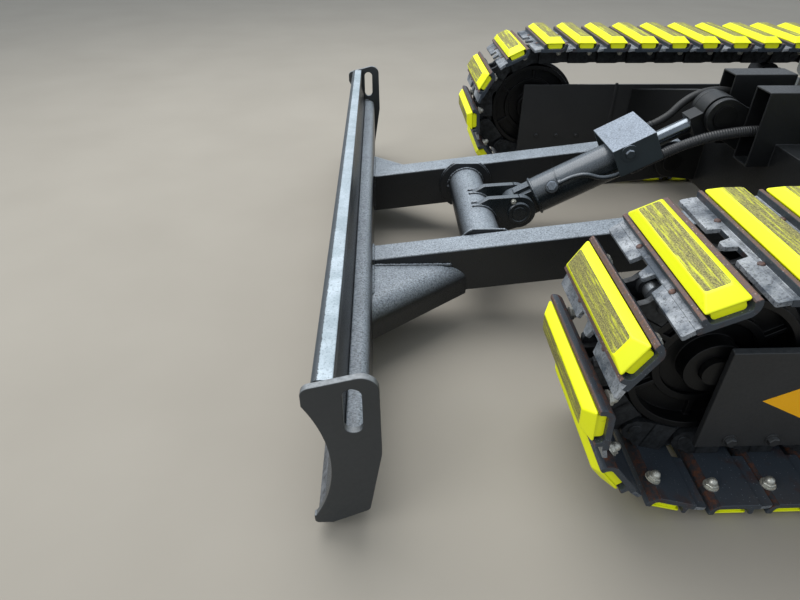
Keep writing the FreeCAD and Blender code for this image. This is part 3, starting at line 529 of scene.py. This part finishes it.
def hexagon(bm, at, axis, across, height, turn, washer=1.25, index=0):
    """A hexagon head with a chamfered top on a washer, whose size is a share of the head's."""
    radius = across / math.sqrt(3)
    made = bmesh.ops.create_cone(bm, cap_ends=True, segments=6, radius1=radius * MM,
                                 radius2=radius * MM, depth=height * MM)["verts"]
    upper = [v for v in made if v.co.z > 0]
    top = {e for v in upper for e in v.link_edges if all(w.co.z > 0 for w in e.verts)}
    cut = bmesh.ops.bevel(bm, geom=list(top), offset=height * 0.14 * MM, segments=1, profile=0.5,
                          affect="EDGES", offset_type="OFFSET", material=-1)
    made = list({v for f in cut["faces"] for v in f.verts} | {v for v in made if v.is_valid})
    for face in {f for v in made for f in v.link_faces}:
        face.material_index = index
    rest = Matrix.Translation((0, 0, (height / 2 + 2) * MM)) @ Matrix.Rotation(turn, 4, "Z")
    bmesh.ops.transform(bm, matrix=standing(at, axis) @ rest, verts=made)
    flange = radius * washer
    disc = [(0, AXLE), (0, flange), (2.2, flange), (2.6, flange - radius * 0.1), (2.6, AXLE)]
    turned(bm, disc, at, axis, 20, index)


print("turning and bolt helpers ready")


# %%
# Round lines: a curve whose own radius swells makes weld beads and ribbed hoses
def round_line(bm, points, radius, swell, sides):
    """Adds a bar along points in metres. Swell gives the share of the radius at each point."""
    line = bpy.data.curves.new("line", "CURVE")
    line.dimensions = "3D"
    spline = line.splines.new("POLY")
    spline.points.add(len(points) - 1)
    for k, (point, spot) in enumerate(zip(spline.points, points)):
        point.co = (*spot, 1)
        point.radius = swell(k)
    line.bevel_depth = radius * MM
    line.bevel_resolution = sides
    line.use_fill_caps = True
    holder = bpy.data.objects.new("line", line)
    mesh = bpy.data.meshes.new_from_object(holder)
    bm.from_mesh(mesh)
    bpy.data.objects.remove(holder)
    bpy.data.curves.remove(line)
    bpy.data.meshes.remove(mesh)


def split(points, step):
    """The points of a line with more set between them, about a step apart."""
    line = [points[0]]
    for a, b in zip(points[:-1], points[1:]):
        count = max(1, round((b - a).length / step))
        line += [a.lerp(b, k / count) for k in range(1, count + 1)]
    return line


def bead(bm, points, radius):
    """A weld bead with ripples along a line of points in millimetres."""
    line = split([Vector(p) * MM for p in points], 3 * MM)
    last = len(line) - 1

    def ripple(k):
        return 0.4 if k in (0, last) else 1 + 0.16 * math.sin(k * 2.4) + 0.08 * math.sin(k * 0.7)

    round_line(bm, line, radius, ripple, 2)


def ring_points(x, y, z, radius, first, last, steps=40):
    """Points on an arc about an axle along Y, in millimetres, with angles in degrees."""
    turns = [math.radians(first + (last - first) * k / steps) for k in range(steps + 1)]
    return [(x + radius * math.cos(t), y, z + radius * math.sin(t)) for t in turns]


print("line helpers ready")

# %% [markdown]
# ## Tracks
# One link with its shoe and pad is made once, lying flat, and set round the loop 43 times.

# %%
# Places of the links, as the chain lies on idler and sprocket
LINK_COUNT, PITCH = 43, 101.6
PIN_CIRCLE = 172.35  # the radius of the pins' way round both wheels
FIRST_PIN = 1  # how far the first pin lies past the lowest point of the idler
ARC = math.pi * PIN_CIRCLE


def on_loop(distance):
    """The (x, z) of a place on the pins' way, from the idler's lowest point round its front."""
    distance %= 2 * (ARC + WHEEL_SPAN)
    if distance < ARC:
        angle = distance / PIN_CIRCLE
        return Vector((IDLER_X + PIN_CIRCLE * math.sin(angle),
                       WHEEL_Z - PIN_CIRCLE * math.cos(angle)))
    if distance < ARC + WHEEL_SPAN:
        return Vector((IDLER_X + ARC - distance, WHEEL_Z + PIN_CIRCLE))
    if distance < 2 * ARC + WHEEL_SPAN:
        angle = (distance - ARC - WHEEL_SPAN) / PIN_CIRCLE
        return Vector((SPROCKET_X - PIN_CIRCLE * math.sin(angle),
                       WHEEL_Z + PIN_CIRCLE * math.cos(angle)))
    return Vector((IDLER_X + distance - 2 * ARC - 2 * WHEEL_SPAN, WHEEL_Z - PIN_CIRCLE))


def link_places():
    """A matrix for each link, from its own axes (along, across, outward) to the machine."""
    places = []
    distance, here = FIRST_PIN, on_loop(FIRST_PIN)
    for _ in range(LINK_COUNT):
        # The next pin is one pitch away in a straight line: the way to it is found by halving
        low, high = distance + 0.9 * PITCH, distance + 1.2 * PITCH
        for _ in range(40):
            middle = (low + high) / 2
            if (on_loop(middle) - here).length < PITCH:
                low = middle
            else:
                high = middle
        distance, there = low, on_loop(low)
        along = (there - here).normalized()
        centre = (here + there) / 2
        places.append(Matrix(((along.x, 0, along.y, centre.x * MM),
                              (0, -1, 0, 0),
                              (along.y, 0, -along.x, centre.y * MM),
                              (0, 0, 0, 1))))
        here = there
    return places


places = link_places()
print("links:", len(places))

# %% [markdown]
# The shoe is rolled steel: a lip in front with two notches that clear the link ends, a ridge, then
# two grousers with the pad bolted over them. The section is pushed out across the track. The lip is
# a plate of its own that slopes down to its edge, because only it is notched.

# %%
# Shoe, in its own axes: along the track, across it, and outward from the line of the pins
SHOE, GROUSER, LIP, PAD, TREAD, LINK, BUSHING, NUT, RUST = range(9)
SHOE_HALF = 149.5
SHOE_INNER = 36.4
SECTION = [
    (-45, SHOE_INNER), (-47.4, 40), (-47.4, 47), (-46.2, 48.3), (-37.4, 48.5), (-38, 58),
    (-37, 60.6), (-31.6, 61), (-29.8, 59.4), (-28.8, 53), (-26, 48.2), (-22, 46.6), (22, 46.6),
    (26, 48.2), (28.8, 53), (29.8, 59.4), (31.6, 61), (38.4, 60.8), (40.4, 59), (40.4, 55),
    (38.6, 49), (35, 43.4), (30, 39), (24, SHOE_INNER),
]
LIP_EDGE, LIP_ROOT, LIP_SLOPE, LIP_THICKNESS = -66, -46, 0.18, 7.4
LIP_HALF = [(LIP_ROOT, SHOE_HALF, 0), (LIP_EDGE, SHOE_HALF, 3), (LIP_EDGE, 45, 2),
            (LIP_ROOT, 41, 4), (LIP_ROOT, 13, 4), (LIP_EDGE, 8.5, 5)]
STUD_HEAD = [(-3, AXLE), (-3, 5.4), (1.2, 5.4), (2.6, 4), (3, AXLE)]
NUT_DOME = [(7, AXLE), (7, 8.4), (12, 8.2), (15.4, 6.4), (17.4, 3), (17.8, AXLE)]


def shoe_unit():
    """The rolled section, with its own finishes on tips, ridge and rear edge."""
    bm = bmesh.new()
    prism(bm, SECTION, -SHOE_HALF, SHOE_HALF, SHOE)
    soften(bm, sharp_edges(bm, 60), 0.7, 1)
    for face in bm.faces:
        middle = face.calc_center_median() / MM
        if middle.z > 59 and abs(middle.x) > 29:
            face.material_index = GROUSER
        # The ridge takes the bright lip steel: rubbed wear and a painted highlight along its bend.
        elif middle.x < -37.2 and 46 < middle.z < 49:
            face.material_index = LIP
        elif 25 < middle.x and middle.z < 47:
            face.material_index = RUST
    return bm


def shoe_lip(bm):
    """The notched plate in front, with a rounded tongue between its notches."""
    outline = rounded(LIP_HALF + [(s, -y, radius) for s, y, radius in LIP_HALF[::-1]])
    bottom = SHOE_INNER + 0.2 - LIP_SLOPE * (LIP_EDGE - LIP_ROOT)
    corners = plate(bm, [(s, y, bottom) for s, y in outline], (0, 0, LIP_THICKNESS), LIP)
    for corner in corners:
        corner.co.z += LIP_SLOPE * (corner.co.x - LIP_ROOT * MM)
    mine = set(corners)
    rim = [e for e in bm.edges if mine.issuperset(e.verts)
           and e.is_manifold and e.calc_face_angle() > 1
           and min(v.co.z for v in e.verts) > 41 * MM and max(v.co.x for v in e.verts) < -48 * MM]
    soften(bm, rim, 1.4)


def pad_bolts(bm):
    """Rusted round heads at the foot of the front grouser, and domed nuts inside the shoe."""
    for y in (-64, 64):
        turned(bm, STUD_HEAD, (-42, y, 48.2), (0, 0, 1), 12, GROUSER)
    for y in (-108, 108):
        inside = (23, y, SHOE_INNER)
        hexagon(bm, inside, (0, 0, -1), across=20, height=6, turn=0.2, washer=1.15, index=NUT)
        turned(bm, NUT_DOME, inside, (0, 0, -1), 14, NUT)


print("points of the shoe's section:", len(SECTION))

# %%
# Pad: its levels as (height, half width, half length), and the tongue between the grousers
PAD_LEVELS = [(61.2, 29.4, 143.4), (63, 30, 144), (65.4, 29.2, 143), (77, 19.6, 123.4),
              (78.6, 17.6, 120.6)]
TONGUE = [(-22.6, 46.8, 5), (22.6, 46.8, 5), (22.6, 61.8, 0), (-22.6, 61.8, 0)]
TONGUE_HALF = 141


def pad_shape(bm):
    """A rubber block with sloping sides and a worn tread, grown level by level."""
    height, half, length = PAD_LEVELS[0]
    seat = (Matrix.Translation((0, 0, height * MM))
            @ Matrix.Diagonal((half * MM, length * MM, 1, 1)))
    corners = bmesh.ops.create_grid(bm, x_segments=1, y_segments=1, size=1, matrix=seat)["verts"]
    face = corners[0].link_faces[0]
    face.material_index = PAD
    for level in PAD_LEVELS[1:]:
        grown = bmesh.ops.extrude_face_region(bm, geom=[face], use_keep_orig=True)["geom"]
        if level != PAD_LEVELS[1]:
            bm.faces.remove(face)
        corners = [v for v in grown if isinstance(v, bmesh.types.BMVert)]
        face = next(f for f in grown if isinstance(f, bmesh.types.BMFace))
        wider = Matrix.Diagonal((level[1] / half, level[2] / length, 1, 1))
        lifted = Matrix.Translation((0, 0, (level[0] - height) * MM))
        bmesh.ops.transform(bm, matrix=lifted @ wider, verts=corners)
        for side in {f for v in corners for f in v.link_faces}:
            side.material_index = PAD
        height, half, length = level
    face.material_index = TREAD
    upright = [e for e in bm.edges if e.is_manifold
               and all(f.material_index == PAD for f in e.link_faces)
               and abs(e.verts[0].co.z - e.verts[1].co.z) > 0.5 * MM]
    soften(bm, upright, 3)
    prism(bm, rounded(TONGUE), -TONGUE_HALF, TONGUE_HALF, PAD)


print("levels of the pad:", len(PAD_LEVELS))

# %%
# Links: two rows of cranked forgings, with bushings and pin ends
LINK_HALF = [(-20, 35.8), (-20, -23.6), (-40, -23.6), (-58, -20), (-70, -9), (-73, 3), (-68, 16),
             (-58, 23), (-44, 27), (-34, 35.8)]
LINK_BLOCK = [(-22, -23.6), (22, -23.6), (22, 35.8), (-22, 35.8)]
LINK_NEAR, LINK_FAR = 13.4, 36.8  # the faces of a row, from the middle of the chain
PIN_END = [(0, AXLE), (0, 12), (1.6, 12), (2.4, 11), (2.4, AXLE)]


def link_shapes(bm):
    """Each row is an inner half, an outer half and the block that joins them."""
    shapes = ((LINK_HALF, LINK_NEAR, 24.4), ([(-s, n) for s, n in LINK_HALF], 25.2, LINK_FAR),
              (LINK_BLOCK, LINK_NEAR, LINK_FAR))
    for side in (-1, 1):
        for outline, near, far in shapes:
            y0, y1 = sorted((side * near, side * far))
            prism(bm, outline, y0, y1, LINK)
        turned(bm, PIN_END, (PITCH / 2, side * LINK_FAR, 0), (0, side, 0), 16, LINK)
    bushing = [(-13, AXLE), (-13, 16), (13, 16), (13, AXLE)]
    turned(bm, bushing, (PITCH / 2, 0, 0), (0, 1, 0), 20, BUSHING)


unit = shoe_unit()
shoe_lip(unit)
pad_bolts(unit)
pad_shape(unit)
link_shapes(unit)
bmesh.ops.recalc_face_normals(unit, faces=unit.faces)
for face in unit.faces:
    if face.material_index == LIP and face.normal.z < -0.5:
        face.material_index = SHOE
unit_mesh = bpy.data.meshes.new("link_unit")
unit.to_mesh(unit_mesh)
unit.free()
print("triangles in one link:", sum(len(p.vertices) - 2 for p in unit_mesh.polygons))

# %%
# Both tracks
track_materials = [shoe_steel, grouser_steel, lip_steel, pad_yellow, pad_tread, link_iron,
                   machined, zinc, joint_rust]
for side, sign in (("left", 1), ("right", -1)):
    bm = bmesh.new()
    for place in places:
        start = len(bm.verts)
        bm.from_mesh(unit_mesh)
        bm.verts.ensure_lookup_table()
        moved = Matrix.Translation((0, sign * TRACK_Y * MM, 0)) @ place
        bmesh.ops.transform(bm, matrix=moved, verts=bm.verts[start:])
    piece("track_chain_" + side, bm, track_materials, "root", ("track_" + side,))
bpy.data.meshes.remove(unit_mesh)
print("tracks set")

# %% [markdown]
# ## Wheels and frames
# The cast and welded pieces keep the CAD's form. Their edges are broken so that they catch the
# light.

# %%
# Idlers, side frames and the pieces that stay as they are
PIVOT_PIN = [(-58, AXLE), (-58, 26.6), (-56.6, 28), (-52, 28), (-52, 19.4)]


def dress(name, material):
    """Gives a carried-over CAD node its finish."""
    nodes[name].data.materials.clear()
    nodes[name].data.materials.append(material)


for side in ("left", "right"):
    softened("idler_" + side, "idler_wheel_" + side, [cast_iron], 1.5, "root")
    softened("side_frame_" + side, "track_frame_" + side, [frame_black], 2, "root")
    softened("travel_motor_" + side, "travel_drive_" + side, [frame_black], 1.5, "root")
    for name in ("idler_shaft_", "bottom_rollers_", "top_roller_", "sprocket_"):
        dress(name + side, cast_iron)
# The centre frame and the arm bracket take the darkened enamel: painted shade.
softened("centre_frame", "carrying_frame", [deck_painted_shade], 3, "root")
softened("arm_bracket", "lug_box", [deck_painted_shade], 2, "root")
softened("slew_ring_outer", "turning_race", [machined], 1.5, "slew")
softened("slew_ring_inner", "fixed_race", [machined], 1.5, "root")
dress("swivel_joint", cast_iron)

bm = bmesh.new()
pin = PIVOT_PIN + [(-along, radius) for along, radius in PIVOT_PIN[::-1]]
for sign in (1, -1):
    turned(bm, pin, (PIVOT_X, sign * ARM_Y, PIVOT_Z), (0, 1, 0), 40)
piece("arm_pivot_pins", bm, [cast_iron], "root", ("arm_pins",))
print("frames set")

# %% [markdown]
# Bolts are hexagon heads on washers, pressed or bought. Each row follows what it clamps: the track
# adjuster and the roller shafts on the side frame, the sprocket on the drive, the slew ring on its
# deck.

# %%
# Bolts of the frames
ADJUSTER_BOLTS = (IDLER_X - 62, IDLER_X - 138)
FIRST_ROLLER, ROLLER_STEP, ROLLER_COUNT, ROLLER_BOLT = IDLER_X - 247.4, 281, 5, 38
GUIDE_BOLTS = (IDLER_X - 25, IDLER_X - 98, IDLER_X - 171)
SPROCKET_BOLTS, SPROCKET_BOLT_CIRCLE, SPROCKET_FACE = 12, 111, 10
RING_BOLTS, RING_BOLT_CIRCLE, RING_FACE = 24, 220, 552
LOW_ROW, HIGH_ROW = 106, 156
roller_bolts = [FIRST_ROLLER - ROLLER_STEP * i + shift
                for i in range(ROLLER_COUNT) for shift in (-ROLLER_BOLT, ROLLER_BOLT)]
bolts = bmesh.new()
for sign in (1, -1):
    outer, inner = sign * (TRACK_Y + FRAME_SIDE), sign * (TRACK_Y - FRAME_SIDE)
    for x in [*ADJUSTER_BOLTS, *roller_bolts]:
        hexagon(bolts, (x, outer, LOW_ROW), (0, sign, 0), across=17, height=8, turn=0.3)
    for x in GUIDE_BOLTS:
        hexagon(bolts, (x, inner, HIGH_ROW), (0, -sign, 0), across=10, height=6, turn=0.3)
    for i in range(SPROCKET_BOLTS):
        angle = 2 * math.pi * (i + 0.5) / SPROCKET_BOLTS
        at = (SPROCKET_X + SPROCKET_BOLT_CIRCLE * math.cos(angle),
              sign * (TRACK_Y + SPROCKET_FACE),
              WHEEL_Z + SPROCKET_BOLT_CIRCLE * math.sin(angle))
        hexagon(bolts, at, (0, sign, 0), across=17, height=8, turn=angle)
for i in range(RING_BOLTS):
    angle = 2 * math.pi * (i + 0.5) / RING_BOLTS
    at = (SLEW_X + RING_BOLT_CIRCLE * math.cos(angle), RING_BOLT_CIRCLE * math.sin(angle),
          RING_FACE)
    hexagon(bolts, at, (0, 0, 1), across=24, height=5, turn=angle)
piece("frame_bolts", bolts, [frame_black], "root")
print("bolts set")

# %%
# The plain orange diamonds of the side frames, and the weld below the slew ring
DIAMOND_X, DIAMOND_Z, DIAMOND_HALF, DIAMOND_RISE = IDLER_X - 207, 200, 120, 62
RING_WELD_RADIUS, DECK_TOP = 286, 447
diamond = [(DIAMOND_X - DIAMOND_HALF, DIAMOND_Z), (DIAMOND_X, DIAMOND_Z + DIAMOND_RISE),
           (DIAMOND_X + DIAMOND_HALF, DIAMOND_Z), (DIAMOND_X, DIAMOND_Z - DIAMOND_RISE)]
bm = bmesh.new()
for sign in (1, -1):
    y = sign * (TRACK_Y + FRAME_SIDE)
    prism(bm, diamond, y - sign, y + sign * 0.5)
piece("frame_diamonds", bm, [diamond_paint], "root")

bm = bmesh.new()
bead(bm, ring_points(0, 0, 0, RING_WELD_RADIUS, 0, 360, 90), 4)
level = (Matrix.Translation((SLEW_X * MM, 0, DECK_TOP * MM))
         @ Matrix.Rotation(math.pi / 2, 4, "X"))
bmesh.ops.transform(bm, matrix=level, verts=bm.verts)
# The ring weld takes the darkened enamel too: painted shade.
piece("frame_welds", bm, [deck_painted_shade], "root")
print("diamonds and ring weld set")

# %% [markdown]
# ## Blade
# The blade is welded up from plate and box and sprayed. Weld beads close its corners: they are
# round lines whose own radius swells and shrinks. The flat bar along its top has lost its paint.


# %%
# Plates, arms and tube
def top_bar_worn(centre, normal):
    """The second material, for the upper face of the bar alone."""
    return 1 if centre.z > 330 and normal.z > 0.5 else 0


for side in ("left", "right"):
    softened("end_plate_" + side, "blade_end_" + side, [satin_slate], 1.5, "blade")
    softened("push_arm_" + side, "blade_arm_" + side, [sprayed_slate], 5, "blade", segments=3)
    softened("gusset_" + side, "blade_gusset_" + side, [sprayed_slate], 2, "blade")
softened("mouldboard", "blade_board", [sprayed_slate, bar_silver], 1.6, "blade",
         choose=top_bar_worn)
softened("rear_beam", "blade_beam", [sprayed_slate], 4, "blade")
softened("cross_tube", "blade_tube", [sprayed_slate], 2, "blade")
softened("cylinder_clevis", "blade_ears", [barrel_grey], 2, "blade")
softened("cutting_edge", "blade_edge", [edge_steel], 2, "blade")
print("blade set")


# %%
# Weld beads of the blade
def circle_through(first, second, third):
    """The centre and the radius of the circle through three (x, z) points."""
    (ax, az), (bx, bz), (cx, cz) = first, second, third
    a, b, c = ax * ax + az * az, bx * bx + bz * bz, cx * cx + cz * cz
    d = 2 * (ax * (bz - cz) + bx * (cz - az) + cx * (az - bz))
    x = (a * (bz - cz) + b * (cz - az) + c * (az - bz)) / d
    z = (a * (cx - bx) + b * (ax - cx) + c * (bx - ax)) / d
    return x, z, math.hypot(ax - x, az - z)


ARC_X, ARC_Z, ARC_RADIUS = circle_through((100, 325), (73, 165), (104, 50))
BOARD_THICKNESS = 12


def board_back(z):
    """The X of the board's rear face at a height."""
    front = BOARD_ORIGIN + ARC_X - math.sqrt(ARC_RADIUS ** 2 - (z - ARC_Z) ** 2)
    return front - BOARD_THICKNESS


PLATE_FACE = 837  # the inner face of an end plate
BEAM_TOP, BAR_FOOT = 225, 301
BEAM_FACE = BEAM_X - 1
ARM_LOW, ARM_TOP, GUSSET_TOP, GUSSET_NOSE = 75, 185, 171, BEAM_X - 186
# Round the tube: side, radius, first and last angle, and size of each weld. They join the tube to
# its doubler, the doubler to the arm, and the two edges of an ear to the tube
TUBE_WELDS = [(199, 52, 0, 360, 4), (205, 75.5, -62, 62, 3.5), (205, 75.5, 118, 242, 3.5),
              (28.5, 52, 72, 246, 3.5), (49.5, 52, 72, 246, 3.5)]
welds = bmesh.new()
bar_x = board_back(BAR_FOOT) - 1
bead(welds, [(bar_x, 1 - PLATE_FACE, BAR_FOOT), (bar_x, PLATE_FACE - 1, BAR_FOOT)], 4)
for sign in (1, -1):
    # Board to end plate: along the beam's top, then up the board's rear face
    side = sign * PLATE_FACE
    bead(welds, [(BEAM_X + 20, side, BEAM_TOP), (board_back(BEAM_TOP + 1), side, BEAM_TOP)]
         + [(board_back(z), side, z) for z in range(BEAM_TOP + 10, BAR_FOOT - 1, 8)], 3.5)
    # Arm to beam, and gusset to arm and beam
    inner, outer = sign * (ARM_Y - ARM_HALF), sign * (ARM_Y + ARM_HALF)
    bead(welds, [(BEAM_FACE, inner, ARM_LOW), (BEAM_FACE, inner, ARM_TOP),
                 (BEAM_FACE, outer, ARM_TOP + 1), (BEAM_FACE, outer, GUSSET_TOP + 1)], 4.5)
    bead(welds, [(GUSSET_NOSE, outer + sign, GUSSET_TOP), (BEAM_FACE, outer + sign, GUSSET_TOP),
                 (BEAM_FACE, outer + sign * 120, GUSSET_TOP)], 4.5)
    for y, radius, first, last, size in TUBE_WELDS:
        bead(welds, ring_points(TUBE_X, sign * y, TUBE_Z, radius, first, last), size)
piece("blade_welds", welds, [sprayed_slate], "blade")
print("welds set")

# %%
# Foot pin: a plain pin with ringed heads and a keeper bolt
EAR_FACE = 48.5
RINGED_HEAD = [(0, AXLE), (0, 30.5), (6, 30.5), (8, 28.6), (8, 22.4), (5.6, 21.6), (5.6, 18.6),
               (7.4, 17.6), (7.4, AXLE)]
SHANK = [(-50, AXLE), (-50, 22.4), (0.5, 22.4), (0.5, AXLE)]
bm = bmesh.new()
for sign in (1, -1):
    at = (FOOT.x, sign * EAR_FACE, FOOT.z)
    turned(bm, RINGED_HEAD, at, (0, sign, 0), 40)
    turned(bm, SHANK, at, (0, sign, 0), 32)
piece("foot_pin", bm, [barrel_grey], "blade", ("clevis_pin",))
bm = bmesh.new()
for sign in (1, -1):
    at = (FOOT.x + 18, sign * EAR_FACE, FOOT.z + 33)
    hexagon(bm, at, (0, sign, 0), across=10, height=6, turn=0.2, washer=1.2)
piece("keeper_bolts", bm, [zinc], "blade")
print("foot pin set")

# %% [markdown]
# ## Blade cylinder
# The barrel is a welded and painted tube. The rod is ground and chromed, its eye is painted. Oil
# comes through two hoses: the left one wears a spiral wrap and passes to a steel pipe at its
# coupler.

# %%
# Barrel, guard and rod
CHROME_END = 465  # how far the chrome reaches from the foot pin


def past_chrome(centre, _):
    """The second material, for the painted eye of the rod."""
    return 1 if (centre - FOOT).dot(ALONG) > CHROME_END else 0


softened("cylinder_barrel", "lift_barrel", [barrel_grey], 1.2, "barrel")
softened("cylinder_guard", "lift_guard", [guard_grey], 1.2, "barrel")
# The rod's chrome is darkened as painted reflection, and its eye takes the darkened deck enamel as
# painted shade.
softened("cylinder_rod", "lift_rod", [chrome_painted_dark, deck_painted_shade], 1, "rod", choose=past_chrome)
softened("oil_pipe", "lift_pipe", [barrel_grey], 0, "barrel")
dress("rod_pin", cast_iron)
print("cylinder set")

# %%
# The weld of the barrel's foot, the bolts of the guard and the plug of the port
FOOT_WELD, FOOT_WELD_RADIUS = 56, 47.5
GUARD_BOLT = (298, 80, 40)
PORT_SIDE, PORT_ABOVE, PORT_OUT = -0.848, 0.53, 62.3
turns = [math.radians(9 * k) for k in range(41)]
spots = [on_cylinder(FOOT_WELD, FOOT_WELD_RADIUS * math.cos(t), FOOT_WELD_RADIUS * math.sin(t))
         for t in turns]
bm = bmesh.new()
bead(bm, spots, 3.5)
piece("barrel_welds", bm, [barrel_grey], "barrel")

bm = bmesh.new()
along, side, above = GUARD_BOLT
for sign in (1, -1):
    at = on_cylinder(along, sign * side, above)
    hexagon(bm, at, TO_RIGHT * sign, across=19, height=8, turn=0.4, washer=1.9)
at = on_cylinder(102, PORT_SIDE * PORT_OUT, PORT_ABOVE * PORT_OUT)
outward = TO_RIGHT * PORT_SIDE + ABOVE * PORT_ABOVE
hexagon(bm, at, outward, across=22, height=8, turn=0.3, washer=1.1)
piece("cylinder_bolts", bm, [guard_grey], "barrel")
print("foot weld and bolts set")

# %%
# Swaged couplers with crimp grooves
GROOVE_COUNT, GROOVE_STEP = 4, 7
bm = bmesh.new()
for start, side, above, radius in ((290, -60.5, -12, 14), (372, 67, 9, 11)):
    crimped = [(0, AXLE), (0, radius - 3), (1.5, radius - 1.2)]
    for groove in range(GROOVE_COUNT):
        crest = 4 + GROOVE_STEP * groove
        crimped += [(crest, radius), (crest + 4.4, radius), (crest + 5.2, radius - 1.6),
                    (crest + 6.2, radius - 1.6)]
    crimped += [(32, radius - 0.8), (32, AXLE)]
    turned(bm, crimped, on_cylinder(start, side, above), ALONG, 28)
piece("hose_ends", bm, [link_iron], "barrel", ("hose_couplers",))
print("couplers set")

# %%
# Hoses: smooth lines through the route's points, in metres along, right of and above the cylinder
LEFT_ROUTE = [(0.322, -0.0605, -0.012), (0.368, -0.0605, -0.012), (0.424, -0.070, -0.007),
              (0.488, -0.077, -0.014), (0.550, -0.079, -0.034), (0.598, -0.080, -0.056),
              (0.638, -0.080, -0.084)]
RIGHT_ROUTE = [(0.404, 0.067, 0.009), (0.444, 0.067, 0.009), (0.482, 0.072, 0.025),
               (0.522, 0.074, 0.031), (0.566, 0.076, 0.020), (0.610, 0.079, -0.006),
               (0.640, 0.080, -0.046)]
HOSE_RADIUS, WRAP_RADIUS = 0.010, 13
RIB_STEP = 0.0011


def hose_line(name, route, radius):
    """A curve object along the cylinder's hose route."""
    line = bpy.data.curves.new(name, "CURVE")
    line.dimensions = "3D"
    line.resolution_u = 12
    spline = line.splines.new("NURBS")
    spline.points.add(len(route) - 1)
    for point, spot in zip(spline.points, route):
        point.co = (*(on_cylinder(*[v / MM for v in spot]) * MM), 1)
    spline.order_u = 3
    spline.use_endpoint_u = True
    line.bevel_depth = radius
    line.bevel_resolution = 6
    return bpy.data.objects.new(name, line)


def rib(k):
    """The share of the wrap's radius at one of the hose's points."""
    return 0.91 + 0.09 * abs(math.sin(k * 0.6))


right_hose = hose_line("lift_hose_far", RIGHT_ROUTE, HOSE_RADIUS)
right_hose.data.materials.append(hose_rubber)
scene.collection.objects.link(right_hose)
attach(right_hose, "barrel")
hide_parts("lift_hose_right")

core = hose_line("route", LEFT_ROUTE, 0)
path = bpy.data.meshes.new_from_object(core)
fine = split([v.co.copy() for v in path.vertices], RIB_STEP)
bpy.data.objects.remove(core)
bpy.data.meshes.remove(path)
bm = bmesh.new()
round_line(bm, fine, WRAP_RADIUS, rib, 5)
piece("lift_hose_wrapped", bm, [wrap_nylon], "barrel", ("lift_hose_left",), smooth=80)
length = sum((b - a).length for a, b in zip(fine[:-1], fine[1:]))
print("hoses set, wrapped one", round(length, 3), "m long")
